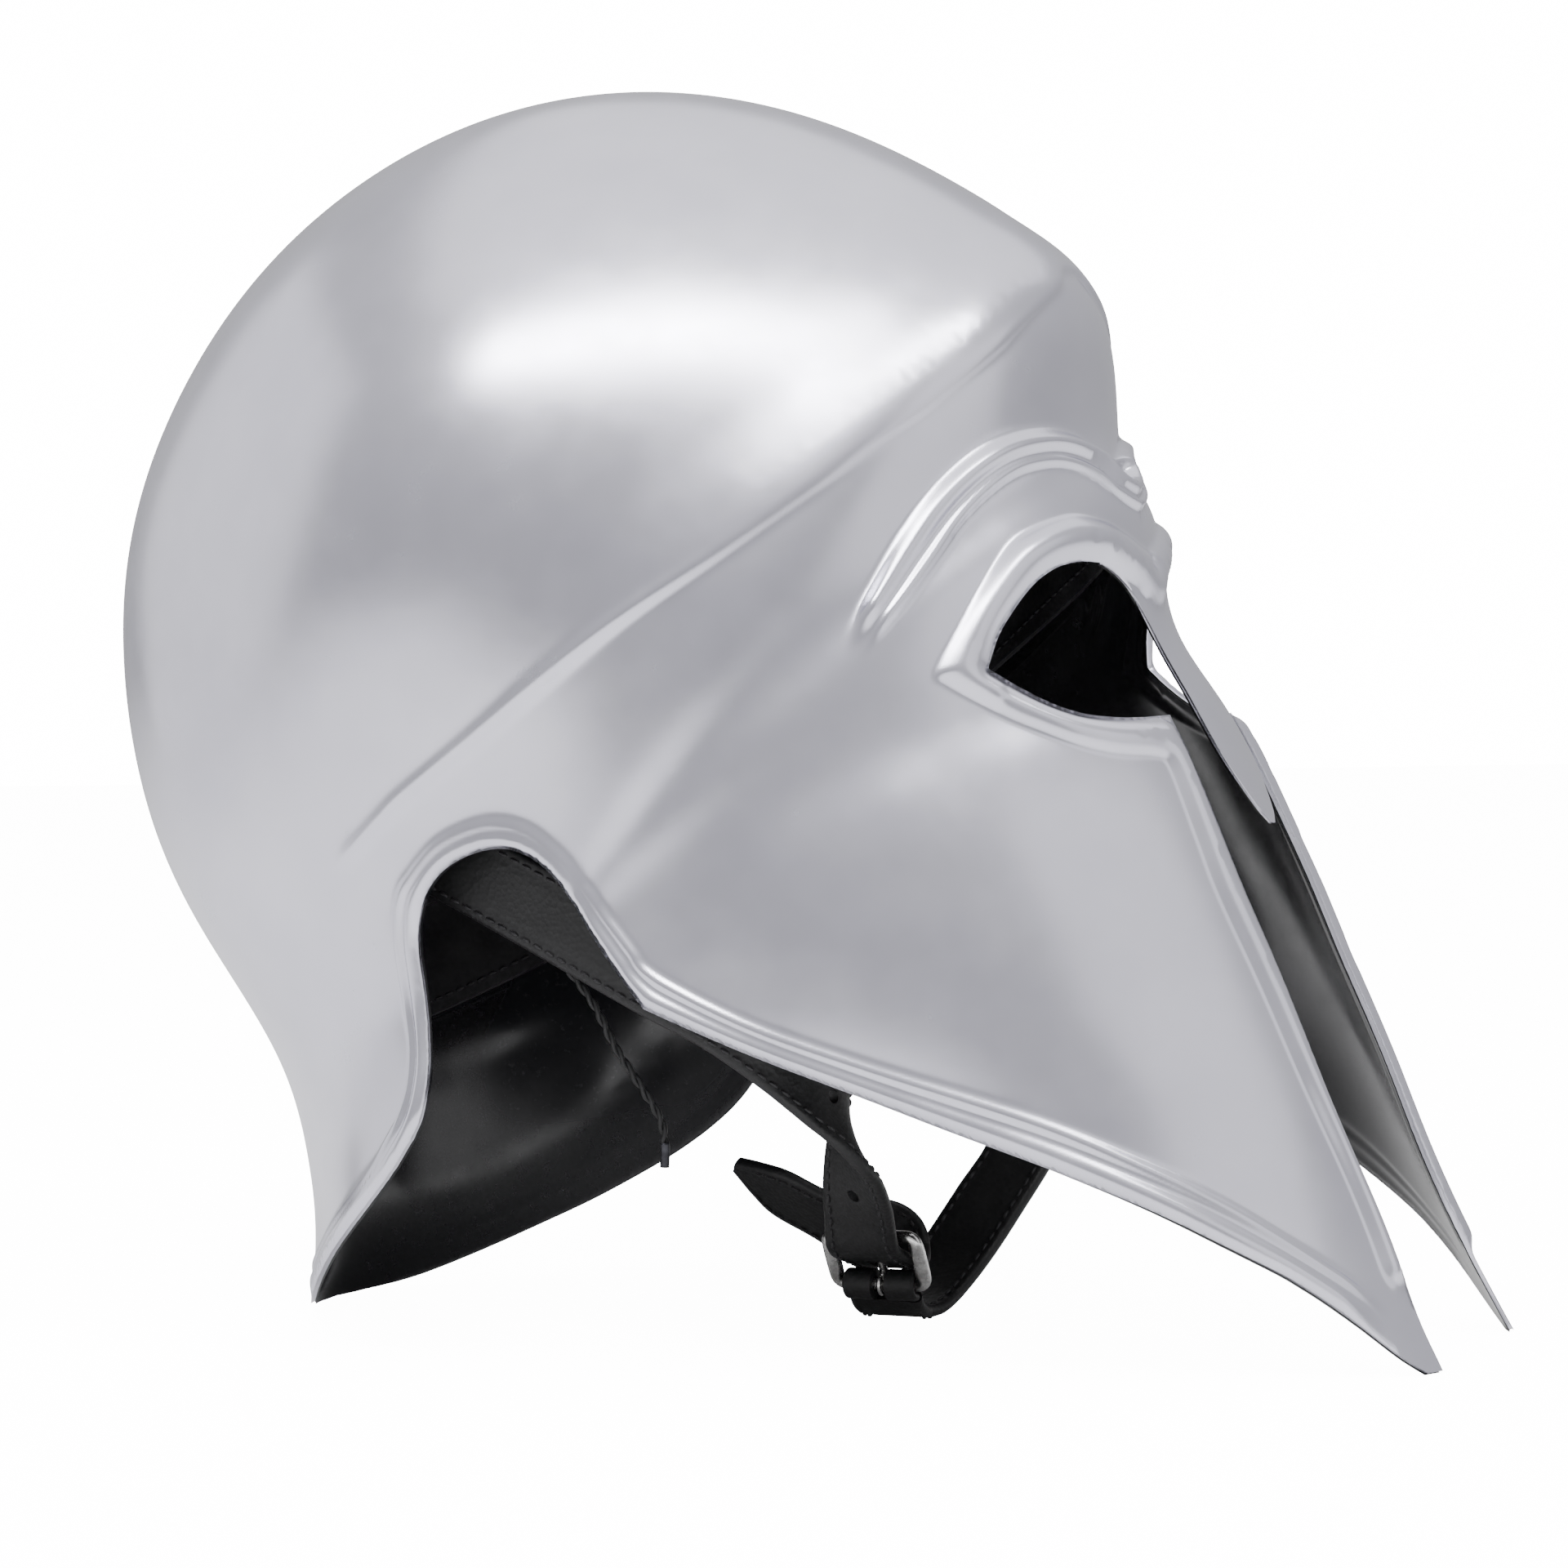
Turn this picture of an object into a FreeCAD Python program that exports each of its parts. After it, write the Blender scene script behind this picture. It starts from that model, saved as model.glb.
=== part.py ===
import FreeCAD, Part
import os, math

# Corinthian style closed helmet with leather liner, chin strap and buckle, in millimetres.
# +X towards the face, +Y to the wearer's left, +Z up, Z = 0 is the plane the helmet rests on.
# Outlines and stations are given in the form frame, which placed() shifts to that frame.
os.makedirs("parts", exist_ok=True)
doc = FreeCAD.newDocument("helmet")
Vector = FreeCAD.Vector

# ---------------------------------------------------------------- driving dimensions
DIMENSIONS = [
    ("shell_thickness", 1.2), ("origin_x", 2.2), ("origin_z", 130.3), ("width_scale", 1.0),
    ("liner_gap", 3.0), ("liner_thickness", 2.0), ("band_height", 46.0),
    ("hem_slope", 0.60), ("hem_back_z", -57.6), ("hem_back_x", -115.3),
    ("tongue_gap", 0.4), ("tongue_thickness", 1.8), ("crown_radius", 34.0),
    ("strap_width", 20.0), ("strap_thickness", 3.0),
    ("anchor_x", -80.0), ("anchor_z", 0.0), ("anchor_y", 75.3),
    ("stud_radius", 2.0), ("stud_hole_radius", 2.08),
    ("washer_radius", 6.5), ("washer_thickness", 0.8),
    ("band_stud_radius", 1.6), ("band_washer_radius", 4.5),
    ("post_spacing", 22.6), ("post_radius", 1.6), ("bar_spacing", 14.2), ("bar_radius", 1.5),
    ("buckle_tilt", 62.0), ("fold_clear", 0.3), ("fold_wall", 2.0), ("strap_neck", 18.6),
    ("buckle_x", 27.0), ("buckle_y", -12.0), ("buckle_z", -113.6),
    ("prong_radius", 1.15), ("prong_clear", 0.08),
    ("lace_radius", 1.25), ("crown_lace_radius", 1.5),
]
sheet = doc.addObject("Spreadsheet::Sheet", "Dimensions")
for row, (alias, value) in enumerate(DIMENSIONS, 1):
    sheet.set("A%d" % row, alias)
    sheet.set("B%d" % row, repr(value))
    sheet.setAlias("B%d" % row, alias)
doc.recompute()


def dim(name):
    return float(getattr(sheet, name))


# depths below the outer form, from the outside in
SHELL_INNER = dim("shell_thickness")
BAND_OUTER = SHELL_INNER + dim("liner_gap")
BAND_INNER = BAND_OUTER + dim("liner_thickness")
TONGUE_OUTER = BAND_INNER + dim("tongue_gap")
TONGUE_INNER = TONGUE_OUTER + dim("tongue_thickness")

ORIGIN = Vector(dim("origin_x"), 0, dim("origin_z"))
X_AXIS = Vector(1, 0, 0)
Y_AXIS = Vector(0, 1, 0)


# ---------------------------------------------------------------- shared helpers
def placed(point):
    """point of the form frame in the helmet's frame"""
    return point + ORIGIN


def mirror_y(shape):
    return shape.mirror(Vector(0, 0, 0), Y_AXIS)


def largest(shape):
    return max(shape.Solids, key=lambda solid: solid.Volume)


def facing_out(solid):
    if solid.Volume < 0:
        solid.reverse()
    return solid


def spline_edge(points):
    curve = Part.BSplineCurve()
    curve.interpolate(points)
    return curve.toShape()


def line_edges(points):
    return [Part.makeLine(a, b) for a, b in zip(points[:-1], points[1:])]


def edge_face(edges):
    return Part.Face(Part.Wire(Part.__sortEdges__(edges)))


def polygon_face(points):
    return Part.Face(Part.makePolygon(points + [points[0]]))


# ---------------------------------------------------------------- outer form
# A fan of ribs about an axis along Y through the ear opening. A point is named by its fan
# angle, 0 at the front and 90 at the top, and its rib angle, 90 on the median plane.
FAN_X, FAN_Z = -28.0, -42.0
FAN_CENTRE = Vector(FAN_X, 0, FAN_Z)
# fan angles and the distance to the median profile at each
PROFILE_ANGLES = [
    -98, -70, -48, -32, -20, -9, 0, 6, 12, 18, 24, 30, 36, 42, 48, 54, 60, 68, 78, 90,
    105, 120, 135, 150, 165, 180, 195, 210, 225, 242, 262]
PROFILE_RADII = [
    157.3, 202.5, 248.2, 263.4, 209.1, 179.9, 166.0, 160.2, 155.6, 152.6, 150.2, 148.7,
    152.9, 161.2, 167.5, 186.7, 195.3, 199.8, 206.0, 211.8, 211.8, 203.1, 188.3, 168.9,
    149.1, 124.4, 111.3, 117.1, 154.1, 235.8, 149.7]
WRAP_ANGLE = -97    # fan angles below this count on past 180

# half width of the form over the side view: a row per x, a column per z
WIDTH_X = [-140, -80, -20, 40, 100, 160]
WIDTH_Z = [-135, -75, -15, 45, 105, 165]
HALF_WIDTHS = [
    [46.4, 66.5, 89.7, 104.4, 122.2, 137.0],
    [82.2, 89.0, 90.9, 106.7, 118.5, 128.8],
    [98.8, 96.9, 91.4, 104.5, 112.5, 119.3],
    [97.9, 94.7, 97.8, 95.7, 98.8, 108.1],
    [98.7, 97.9, 99.4, 94.0, 92.5, 98.8],
    [102.2, 98.3, 96.5, 92.8, 90.6, 91.2]]
WIDTH_X_LIMITS = (-163.5, 193.5)
WIDTH_Z_LIMITS = (-151.0, 185.0)
WIDTH_SCALE = dim("width_scale")


def natural_spline(knots, values):
    """natural cubic spline through the values at the knots, as a function"""
    count = len(knots)
    step = [knots[i + 1] - knots[i] for i in range(count - 1)]
    # tridiagonal system for the second derivatives
    below, diagonal, above, right = [0.0] * count, [1.0] * count, [0.0] * count, [0.0] * count
    for i in range(1, count - 1):
        below[i] = step[i - 1]
        diagonal[i] = 2 * (step[i - 1] + step[i])
        above[i] = step[i]
        right[i] = 6 * ((values[i + 1] - values[i]) / step[i]
                        - (values[i] - values[i - 1]) / step[i - 1])
    for i in range(1, count):
        factor = below[i] / diagonal[i - 1]
        diagonal[i] -= factor * above[i - 1]
        right[i] -= factor * right[i - 1]
    bend = [0.0] * count
    bend[-1] = right[-1] / diagonal[-1]
    for i in range(count - 2, -1, -1):
        bend[i] = (right[i] - above[i] * bend[i + 1]) / diagonal[i]

    def evaluate(x):
        i = 0
        while i < count - 2 and x > knots[i + 1]:
            i += 1
        gap, ahead, behind = step[i], knots[i + 1] - x, x - knots[i]
        return (bend[i] * ahead ** 3 / (6 * gap) + bend[i + 1] * behind ** 3 / (6 * gap)
                + (values[i] / gap - bend[i] * gap / 6) * ahead
                + (values[i + 1] / gap - bend[i + 1] * gap / 6) * behind)
    return evaluate


profile_radius = natural_spline(PROFILE_ANGLES, PROFILE_RADII)


def lagrange(nodes, x):
    """weight of each node in the polynomial through all of them"""
    weights = []
    for i, node in enumerate(nodes):
        weight = 1.0
        for j, other in enumerate(nodes):
            if i != j:
                weight *= (x - other) / (node - other)
        weights.append(weight)
    return weights


def half_width(x, z):
    x = min(max(x, WIDTH_X_LIMITS[0]), WIDTH_X_LIMITS[1])
    z = min(max(z, WIDTH_Z_LIMITS[0]), WIDTH_Z_LIMITS[1])
    by_x, by_z = lagrange(WIDTH_X, x), lagrange(WIDTH_Z, z)
    return WIDTH_SCALE * sum(by_x[i] * HALF_WIDTHS[i][j] * by_z[j]
                             for i in range(len(by_x)) for j in range(len(by_z)))


def form_point(fan, rib):
    reach = profile_radius(fan) * math.sin(math.radians(rib))
    x = FAN_X + reach * math.cos(math.radians(fan))
    z = FAN_Z + reach * math.sin(math.radians(fan))
    return Vector(x, half_width(x, z) * math.cos(math.radians(rib)), z)


def form_normal(fan, rib):
    """outward unit normal, by differences"""
    step = 0.2
    along = form_point(fan + step, rib) - form_point(fan - step, rib)
    if rib > 89.9:
        # on the median the normal stays in the XZ plane
        normal = Vector(along.z, 0, -along.x)
    else:
        normal = along.cross(form_point(fan, rib + step) - form_point(fan, rib - step))
    normal.normalize()
    outward = form_point(fan, rib) - FAN_CENTRE
    return normal if normal.dot(outward) > 0 else normal * -1


def fan_place(x, z):
    """fan angle of a side view position and its distance as a share of the profile's"""
    fan = math.degrees(math.atan2(z - FAN_Z, x - FAN_X))
    if fan < WRAP_ANGLE:
        fan += 360
    return fan, math.hypot(x - FAN_X, z - FAN_Z) / profile_radius(fan)


def side_place(x, z):
    """form point and normal on the +Y side at side view position (x, z)"""
    fan, share = fan_place(x, z)
    rib = math.degrees(math.asin(min(share, 1.0)))
    return form_point(fan, rib), form_normal(fan, rib)


FAN_ANGLES = [-40 + 3.6 * i for i in range(81)]
RIB_ANGLES = [5, 9, 13, 17, 21, 25.5, 30, 34.5, 39, 43.5, 48, 52.5, 57, 61.5, 66, 70, 74,
              77.5, 81, 84, 87, 90]
GRID = [[(rib, form_point(fan, rib), form_normal(fan, rib)) for rib in RIB_ANGLES]
        for fan in FAN_ANGLES]
LINER_FIRST_RIB = 2    # the liner starts further from the fan axis than the shell


def half_skin(outer, inner, first_rib=0):
    """closed +Y half skin between two depths below the form"""
    surfaces = []
    for depth in (outer, inner):
        rows = []
        for grid_row in GRID:
            line = []
            for rib, point, normal in grid_row[first_rib:]:
                moved = point - normal * depth
                if rib == 90:
                    moved.y = 0.0
                line.append(placed(moved))
            rows.append(line)
        surface = Part.BSplineSurface()
        surface.interpolate(rows)
        surfaces.append(surface)
    faces = [surface.toShape() for surface in surfaces]
    # bounds are u low, u high, v low, v high: a ruled face closes each border
    for border in range(4):
        edges = []
        for surface in surfaces:
            limit = surface.bounds()[border]
            curve = surface.uIso(limit) if border < 2 else surface.vIso(limit)
            edges.append(curve.toShape())
        faces.append(Part.makeRuledSurface(edges[0], edges[1]))
    shell = Part.Shell(faces)
    shell.sewShape()
    return facing_out(Part.Solid(shell))


# ---------------------------------------------------------------- shell
# side view outlines, (x, z)
# rear edge of the eye opening, rising to its top
EYE_TOP = [
    (76.1, 27.0), (77.3, 33.7), (79.8, 40.2), (82.6, 45.6), (85.7, 49.1), (88.9, 50.4),
    (91.8, 50.2)]
# lower edge of the eye opening, front to back
EYE_LOW = [
    (107.4, 15.1), (103.4, 14.7), (98.6, 15.0), (93.2, 16.2), (87.4, 18.8), (81.3, 22.6),
    (77.2, 25.6)]
EYE_CORNER = (76.2, 26.3)
# front edge of the cheek, top to bottom
CHEEK_FRONT = [
    (107.4, 15.1), (112.6, 5.0), (120.5, -13.0), (130.9, -37.5), (141.0, -62.0),
    (149.5, -83.5), (157.2, -101.5), (164.8, -118.8), (170.6, -130.3)]
# lower edge of the cheek, front to back
CHEEK_LOW = [
    (168.4, -130.3), (163.9, -126.4), (155.5, -118.2), (146.5, -110.4), (137.3, -104.0),
    (118.5, -93.2), (98.6, -84.0), (75.6, -74.6), (55.2, -66.2), (32.8, -57.6), (7.2, -47.4)]
# ear notch and neck edge, front to back
NOTCH = [
    (7.2, -47.4), (0.8, -39.8), (-6.0, -30.8), (-12.6, -20.8), (-19.5, -14.4), (-27.0, -11.7),
    (-34.5, -12.3), (-42.2, -15.2), (-48.0, -19.8), (-51.4, -26.0), (-52.4, -33.5),
    (-51.4, -43.5), (-50.0, -54.5), (-49.0, -64.0), (-50.0, -73.5), (-54.2, -81.3),
    (-60.2, -88.6), (-67.3, -95.2), (-75.2, -101.4), (-84.0, -107.4), (-92.0, -112.5),
    (-100.0, -117.0), (-112.0, -123.4), (-123.0, -128.3), (-132.0, -130.3)]
# front view edge of the nose guard, top to bottom, (y, z)
NASAL = [
    (22.0, 50.2), (16.0, 47.0), (11.6, 43.2), (9.2, 38.5), (8.2, 33.0), (8.6, 27.0), (9.6, 21.0),
    (10.5, 15.0), (10.6, 9.0), (9.6, 3.5), (7.4, -2.0), (4.2, -7.4), (0.9, -10.4)]
CUT_FAR = 420.0             # reach of the cutter beyond the helmet in side view
CUT_Y = (-5.0, 150.0)       # span of the cutter across the half shell
NOSE_X, NOSE_LENGTH = 60.0, 200.0
NOSE_INNER_Y = -6.0


def opening_cutter():
    """everything outside the outline, less the nose guard"""
    def in_plane(points):
        return [placed(Vector(x, CUT_Y[0], z)) for x, z in points]

    corners = [(CUT_FAR, EYE_TOP[-1][1]), (CUT_FAR, -CUT_FAR), (-CUT_FAR, -CUT_FAR),
               (-CUT_FAR, NOTCH[-1][1])]
    edges = [spline_edge(in_plane(EYE_TOP))]
    edges += line_edges(in_plane([EYE_TOP[-1]] + corners + [NOTCH[-1]]))
    edges.append(spline_edge(in_plane(NOTCH[::-1])))
    edges.append(spline_edge(in_plane(CHEEK_LOW[::-1])))
    edges += line_edges(in_plane([CHEEK_LOW[0], CHEEK_FRONT[-1]]))
    edges.append(spline_edge(in_plane(CHEEK_FRONT[::-1])))
    edges.append(spline_edge(in_plane(EYE_LOW)))
    edges.append(spline_edge(in_plane([EYE_LOW[-1], EYE_CORNER, EYE_TOP[0]])))
    cutter = edge_face(edges).extrude(Vector(0, CUT_Y[1] - CUT_Y[0], 0))

    side = [placed(Vector(NOSE_X, y, z)) for y, z in NASAL]
    inner = [Vector(side[i].x, NOSE_INNER_Y, side[i].z) for i in (-1, 0)]
    nose = edge_face([spline_edge(side)] + line_edges([side[-1]] + inner + [side[0]]))
    return cutter.cut(nose.extrude(Vector(NOSE_LENGTH, 0, 0)))


parts = []


def add_feature(label, shape):
    feature = doc.addObject("Part::Feature", label)
    feature.Shape = shape
    feature.Label = label
    parts.append(feature)
    return feature


left_shell = add_feature("shell_left_half",
                         largest(half_skin(0.0, SHELL_INNER).cut(opening_cutter())))
right_shell = doc.addObject("Part::Mirroring", "shell_right_half")
right_shell.Source = left_shell
right_shell.Normal = Y_AXIS
right_shell.Base = Vector(0, 0, 0)
right_shell.Label = "shell_right_half"
parts.append(right_shell)

# ---------------------------------------------------------------- strap anchors and band studs
ANCHOR = Vector(dim("anchor_x"), dim("anchor_y"), dim("anchor_z"))    # left strap, form frame
ANCHOR_PLACED = placed(ANCHOR)
INWARD = Y_AXIS * -1      # from the left wall to the middle
BAND_STUDS = ((47.0, 55.8), (-133.0, -52.2))    # side view (x, z), one front and one rear
BAND_HOLE_CLEAR = 0.1
ANCHOR_HOLE_CLEAR = 0.15

# ---------------------------------------------------------------- leather liner
# The hem is a sloping plane, high at the brow and low at the nape.
BAND_HEIGHT = dim("band_height")
HEM_HALF_LENGTH = 260.0
TONGUE_LAP = 14.0         # the tongues start this far below the band's top
CROWN_X = -44.0           # centre of the tongues in plan
CROWN_RADIUS = dim("crown_radius")
TONGUE_NAMES = ["front", "front_left", "left", "rear_left", "rear_right", "right", "front_right"]
# plan outline of a tongue, (distance from the crown centre, sideways)
TONGUE_OUTLINE = [
    (160.0, -62.0), (112.0, -44.0), (74.0, -30.0), (50.0, -18.0), (CROWN_RADIUS, -9.5),
    (CROWN_RADIUS - 8.0, 0.0),
    (CROWN_RADIUS, 9.5), (50.0, 18.0), (74.0, 30.0), (112.0, 44.0), (160.0, 62.0)]


def hem_prism(low, high, y_start, y_end):
    """slab between two heights above the hem"""
    def corner(x, height):
        z = dim("hem_back_z") + dim("hem_slope") * (x - dim("hem_back_x")) + height
        return placed(Vector(x, y_start, z))

    back, front = -HEM_HALF_LENGTH, HEM_HALF_LENGTH
    corners = [corner(back, low), corner(front, low), corner(front, high), corner(back, high)]
    return polygon_face(corners).extrude(Vector(0, y_end - y_start, 0))


def headband():
    skin = half_skin(BAND_OUTER, BAND_INNER, LINER_FIRST_RIB)
    half = largest(skin.common(hem_prism(0.0, BAND_HEIGHT, 0.0, 140.0)))
    band = half.fuse(mirror_y(half)).removeSplitter()
    holes = []
    for x, z in BAND_STUDS:
        point, normal = side_place(x, z)
        holes.append(Part.makeCylinder(dim("band_stud_radius") + BAND_HOLE_CLEAR, 14,
                                       placed(point), normal * -1))
    holes.append(Part.makeCylinder(dim("stud_radius") + ANCHOR_HOLE_CLEAR, 30,
                                   ANCHOR_PLACED - INWARD * 20, INWARD))
    for hole in holes:
        band = band.cut(hole).cut(mirror_y(hole))
    return band


def tongue_prism(azimuth):
    """plan view petal: wide at the band, narrow and rounded at the crown"""
    cosine, sine = math.cos(math.radians(azimuth)), math.sin(math.radians(azimuth))
    points = [Vector(CROWN_X + ORIGIN.x + reach * cosine - across * sine,
                     reach * sine + across * cosine, 0) for reach, across in TONGUE_OUTLINE]
    wire = Part.Wire([spline_edge(points), Part.makeLine(points[-1], points[0])])
    return Part.Face(wire).extrude(Vector(0, 0, 400))


def add_tongues():
    """tongues lapped inside the band and gathered at the crown"""
    half = half_skin(TONGUE_OUTER, TONGUE_INNER, LINER_FIRST_RIB)
    dome = half.fuse(mirror_y(half))
    dome = dome.common(hem_prism(BAND_HEIGHT - TONGUE_LAP, 600.0, -200.0, 200.0))
    # the lower edges are relieved round the strap pivots so the straps can swing
    relief = Part.makeBox(60.0, 400.0, 97.0, placed(Vector(-98.0, -200.0, -80.0)))
    for i, name in enumerate(TONGUE_NAMES):
        azimuth = round(360.0 * i / len(TONGUE_NAMES), 1)
        add_feature("liner_tongue_" + name,
                    largest(dome.common(tongue_prism(azimuth)).cut(relief)))


add_feature("liner_headband", headband())
add_tongues()

# ---------------------------------------------------------------- laces
CROWN_LACE_RADIUS = dim("crown_lace_radius")
CROWN_LACE_RING = CROWN_RADIUS - 1.0
CROWN_KNOT_ANGLE = math.radians(180.0)    # the knot is at the rear
LACE_KNOT_RADIUS = 2.4
LACE_KNOT_X, LACE_KNOT_Z = -60.0, 14.0
# stations of the hanging lace below its knot, (x, y, z)
LACE_STATIONS = [
    (-58.8, -78.2, 13.6), (-57.0, -73.6, 11.2), (-54.6, -71.6, 6.0), (-51.6, -71.1, -1.0),
    (-47.6, -71.0, -9.0), (-41.0, -70.8, -19.0), (-30.0, -69.0, -33.5), (-20.0, -66.0, -47.3),
    (-15.6, -62.3, -58.9), (-10.6, -59.0, -68.6), (-7.4, -56.3, -76.0), (-6.8, -55.4, -82.0),
    (-7.2, -55.0, -87.4)]


def cord(points, radius):
    """round cord swept through the points"""
    curve = Part.BSplineCurve()
    curve.interpolate(points)
    start = curve.FirstParameter
    circle = Part.makeCircle(radius, curve.value(start), curve.tangent(start)[0])
    sweep = Part.BRepOffsetAPI.MakePipeShell(Part.Wire([curve.toShape()]))
    sweep.setFrenetMode(False)
    sweep.add(Part.Wire([circle]), False, False)
    sweep.build()
    sweep.makeSolid()
    return facing_out(sweep.shape())


def dome_point(x, y, depth):
    """point under the crown: the form at plan position (x, y), moved in by depth"""
    low, high = 60.0, 171.0
    for _ in range(50):
        middle = (low + high) / 2
        _fan, share = fan_place(x, middle)
        reach = half_width(x, middle) * math.sqrt(1 - share * share) if share < 1 else -1.0
        if reach > abs(y):
            low = middle
        else:
            high = middle
    normal = side_place(x, low)[1]
    normal.y = math.copysign(abs(normal.y), y) if y else 0.0
    return Vector(x, y, low) - normal * depth


def crown_lace():
    """open ring of cord under the tongue tips, closed by a knot"""
    points = []
    for i in range(29):
        angle = CROWN_KNOT_ANGLE + math.radians(3.0 + 354.0 * i / 28)
        points.append(placed(dome_point(CROWN_X + CROWN_LACE_RING * math.cos(angle),
                                        CROWN_LACE_RING * math.sin(angle),
                                        TONGUE_INNER + 0.3 + CROWN_LACE_RADIUS)))
    knot = dome_point(CROWN_X + CROWN_LACE_RING * math.cos(CROWN_KNOT_ANGLE), 0.0,
                      TONGUE_INNER + 0.6 + CROWN_LACE_RADIUS)
    ball = Part.makeSphere(CROWN_LACE_RADIUS * 2.0, placed(knot))
    return cord(points, CROWN_LACE_RADIUS).fuse(ball).removeSplitter()


def hanging_lace():
    """lace knotted on the inner face of the band, above the right strap"""
    point, normal = side_place(LACE_KNOT_X, LACE_KNOT_Z)
    knot = Vector(LACE_KNOT_X, -(point.y - BAND_INNER / normal.y - 2.9), LACE_KNOT_Z)
    points = [placed(p) for p in [knot] + [Vector(*s) for s in LACE_STATIONS]]
    ball = Part.makeSphere(LACE_KNOT_RADIUS, placed(knot))
    return cord(points, dim("lace_radius")).fuse(ball).removeSplitter()


add_feature("crown_lace", crown_lace())
add_feature("lace_tail", hanging_lace())

# ---------------------------------------------------------------- buckle frame of reference
BUCKLE_CENTRE = Vector(dim("buckle_x"), dim("buckle_y"), dim("buckle_z"))
TILT = math.radians(dim("buckle_tilt"))
STRAP_AXIS = Vector(0, math.cos(TILT), -math.sin(TILT))    # along the strap, right to left
CHIN_AXIS = Vector(0, math.sin(TILT), math.cos(TILT))      # towards the chin
HALF_BARS = dim("bar_spacing") / 2
BAR_RADIUS = dim("bar_radius")


def buckle_point(across, along, chinward):
    """form frame point from distances on X, STRAP_AXIS and CHIN_AXIS"""
    return BUCKLE_CENTRE + X_AXIS * across + STRAP_AXIS * along + CHIN_AXIS * chinward


PIVOT = buckle_point(0, HALF_BARS, 0)
PIVOT_PLACED = placed(PIVOT)

# ---------------------------------------------------------------- chin strap
STRAP_WIDTH, STRAP_NECK = dim("strap_width"), dim("strap_neck")
STRAP_THICKNESS = dim("strap_thickness")
FOLD_INNER = BAR_RADIUS + dim("fold_clear")
FOLD_OUTER = FOLD_INNER + dim("fold_wall")
SLOT_HALF_WIDTH = 1.8
ADJUST_HOLE_RADIUS = 1.7
ADJUST_HOLE_SAMPLES = (27, 23, 19)    # ribbon samples that carry a hole
SIDE_Y = ANCHOR.y
# strap stations: (centre, width direction)
RIGHT_STATIONS = [
    # from behind the anchor down the right side
    ((-90, -SIDE_Y, 5.0), (0.447, 0, 0.894)), ((-80, -SIDE_Y, 0.0), (0.447, 0, 0.894)),
    ((-60, -SIDE_Y, -10.0), (0.447, 0, 0.894)), ((-30, -SIDE_Y + 0.3, -25.0), (0.447, 0, 0.894)),
    ((0, -74.0, -40.5), (0.45, 0.05, 0.89)), ((16, -69, -49.5), (0.43, 0.15, 0.89)),
    ((27, -60, -60.0), (0.33, 0.35, 0.87)), ((33, -50.5, -70.5), (0.05, 0.6, 0.8)),
    ((34.3, -43.5, -79.5), (-0.44, 0.68, 0.58)), ((33.0, -37.0, -87.0), (-0.8, 0.42, 0.42)),
    ((30.5, -30.0, -95.5), (-0.93, 0.25, 0.25)), ((28.3, -24.0, -103.0), (-0.99, 0.1, 0.1)),
    # through the buckle
    (buckle_point(0, -HALF_BARS, -4.8), (-1, 0, 0)),
    (buckle_point(0, -2.0, -1.0), (-1, 0, 0)),
    (buckle_point(0, HALF_BARS - 2.1, 6.2), (-1, 0, 0)),
    # free end, turned back
    ((26.2, 0.0, -114.5), (-0.98, -0.05, -0.15)), ((23.0, 4.2, -111.8), (-0.85, -0.05, -0.5)),
    ((15.5, 5.0, -109.7), (-0.66, 0.34, -0.66)), ((6.0, 4.0, -105.7), (-0.47, 0.62, -0.6)),
    ((-4.0, 1.5, -100.2), (-0.46, 0.66, -0.58)), ((-9.5, 0.5, -96.9), (-0.46, 0.66, -0.58)),
    ((-15.2, 0.0, -93.3), (-0.46, 0.66, -0.58))]
RIGHT_WIDTHS = [STRAP_WIDTH] * 11 + [STRAP_NECK] * 5 + [STRAP_WIDTH] * 4 + [14.0, 5.0]
LEFT_STATIONS = [
    # from the fold at the pivot bar up the left side
    (PIVOT + STRAP_AXIS * (FOLD_OUTER - 0.9), (1, 0, 0)), ((26.4, -3.6, -125.6), (1, 0, 0)),
    ((25.8, 3.0, -127.8), (1, 0, 0)), ((26.6, 10.0, -127.0), (1, 0, 0)),
    ((28.6, 18.0, -123.0), (1, 0, 0)), ((32.0, 28.5, -114.8), (0.97, -0.15, -0.15)),
    ((36.5, 37.5, -104.5), (0.95, -0.2, -0.2)), ((41.0, 45.5, -94.5), (0.95, -0.24, -0.2)),
    ((42.5, 50.5, -86.0), (0.93, 0.0, -0.3)), ((41.5, 55.0, -77.5), (0.75, 0.45, -0.48)),
    ((37.0, 59.5, -69.0), (0.3, 0.68, -0.66)), ((29.0, 64.0, -60.5), (-0.1, 0.55, -0.83)),
    ((17.5, 69.3, -51.0), (-0.38, 0.25, -0.89)), ((0, 74.0, -40.5), (-0.447, 0.05, -0.894)),
    ((-30, SIDE_Y - 0.3, -25.0), (-0.447, 0, -0.894)), ((-60, SIDE_Y, -10.0), (-0.447, 0, -0.894)),
    ((-80, SIDE_Y, 0.0), (-0.447, 0, -0.894)), ((-90, SIDE_Y, 5.0), (-0.447, 0, -0.894))]
LEFT_WIDTHS = [STRAP_NECK] * 3 + [STRAP_WIDTH] * 15
# prong slots, (along the strap, chinward) in the buckle's frame
LEFT_SLOT = [(HALF_BARS + 3.5, -3.5), (HALF_BARS + 3.5, 3.5), (HALF_BARS - 1.0, 5.4),
             (HALF_BARS - 9, 7.5), (HALF_BARS - 9, -3.5)]
RIGHT_SLOT = [(HALF_BARS + 1.0, -2.4), (HALF_BARS + 1.0, 3.0), (-HALF_BARS - 4.5, 9.0),
              (-HALF_BARS - 4.5, -1.4)]


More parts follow.
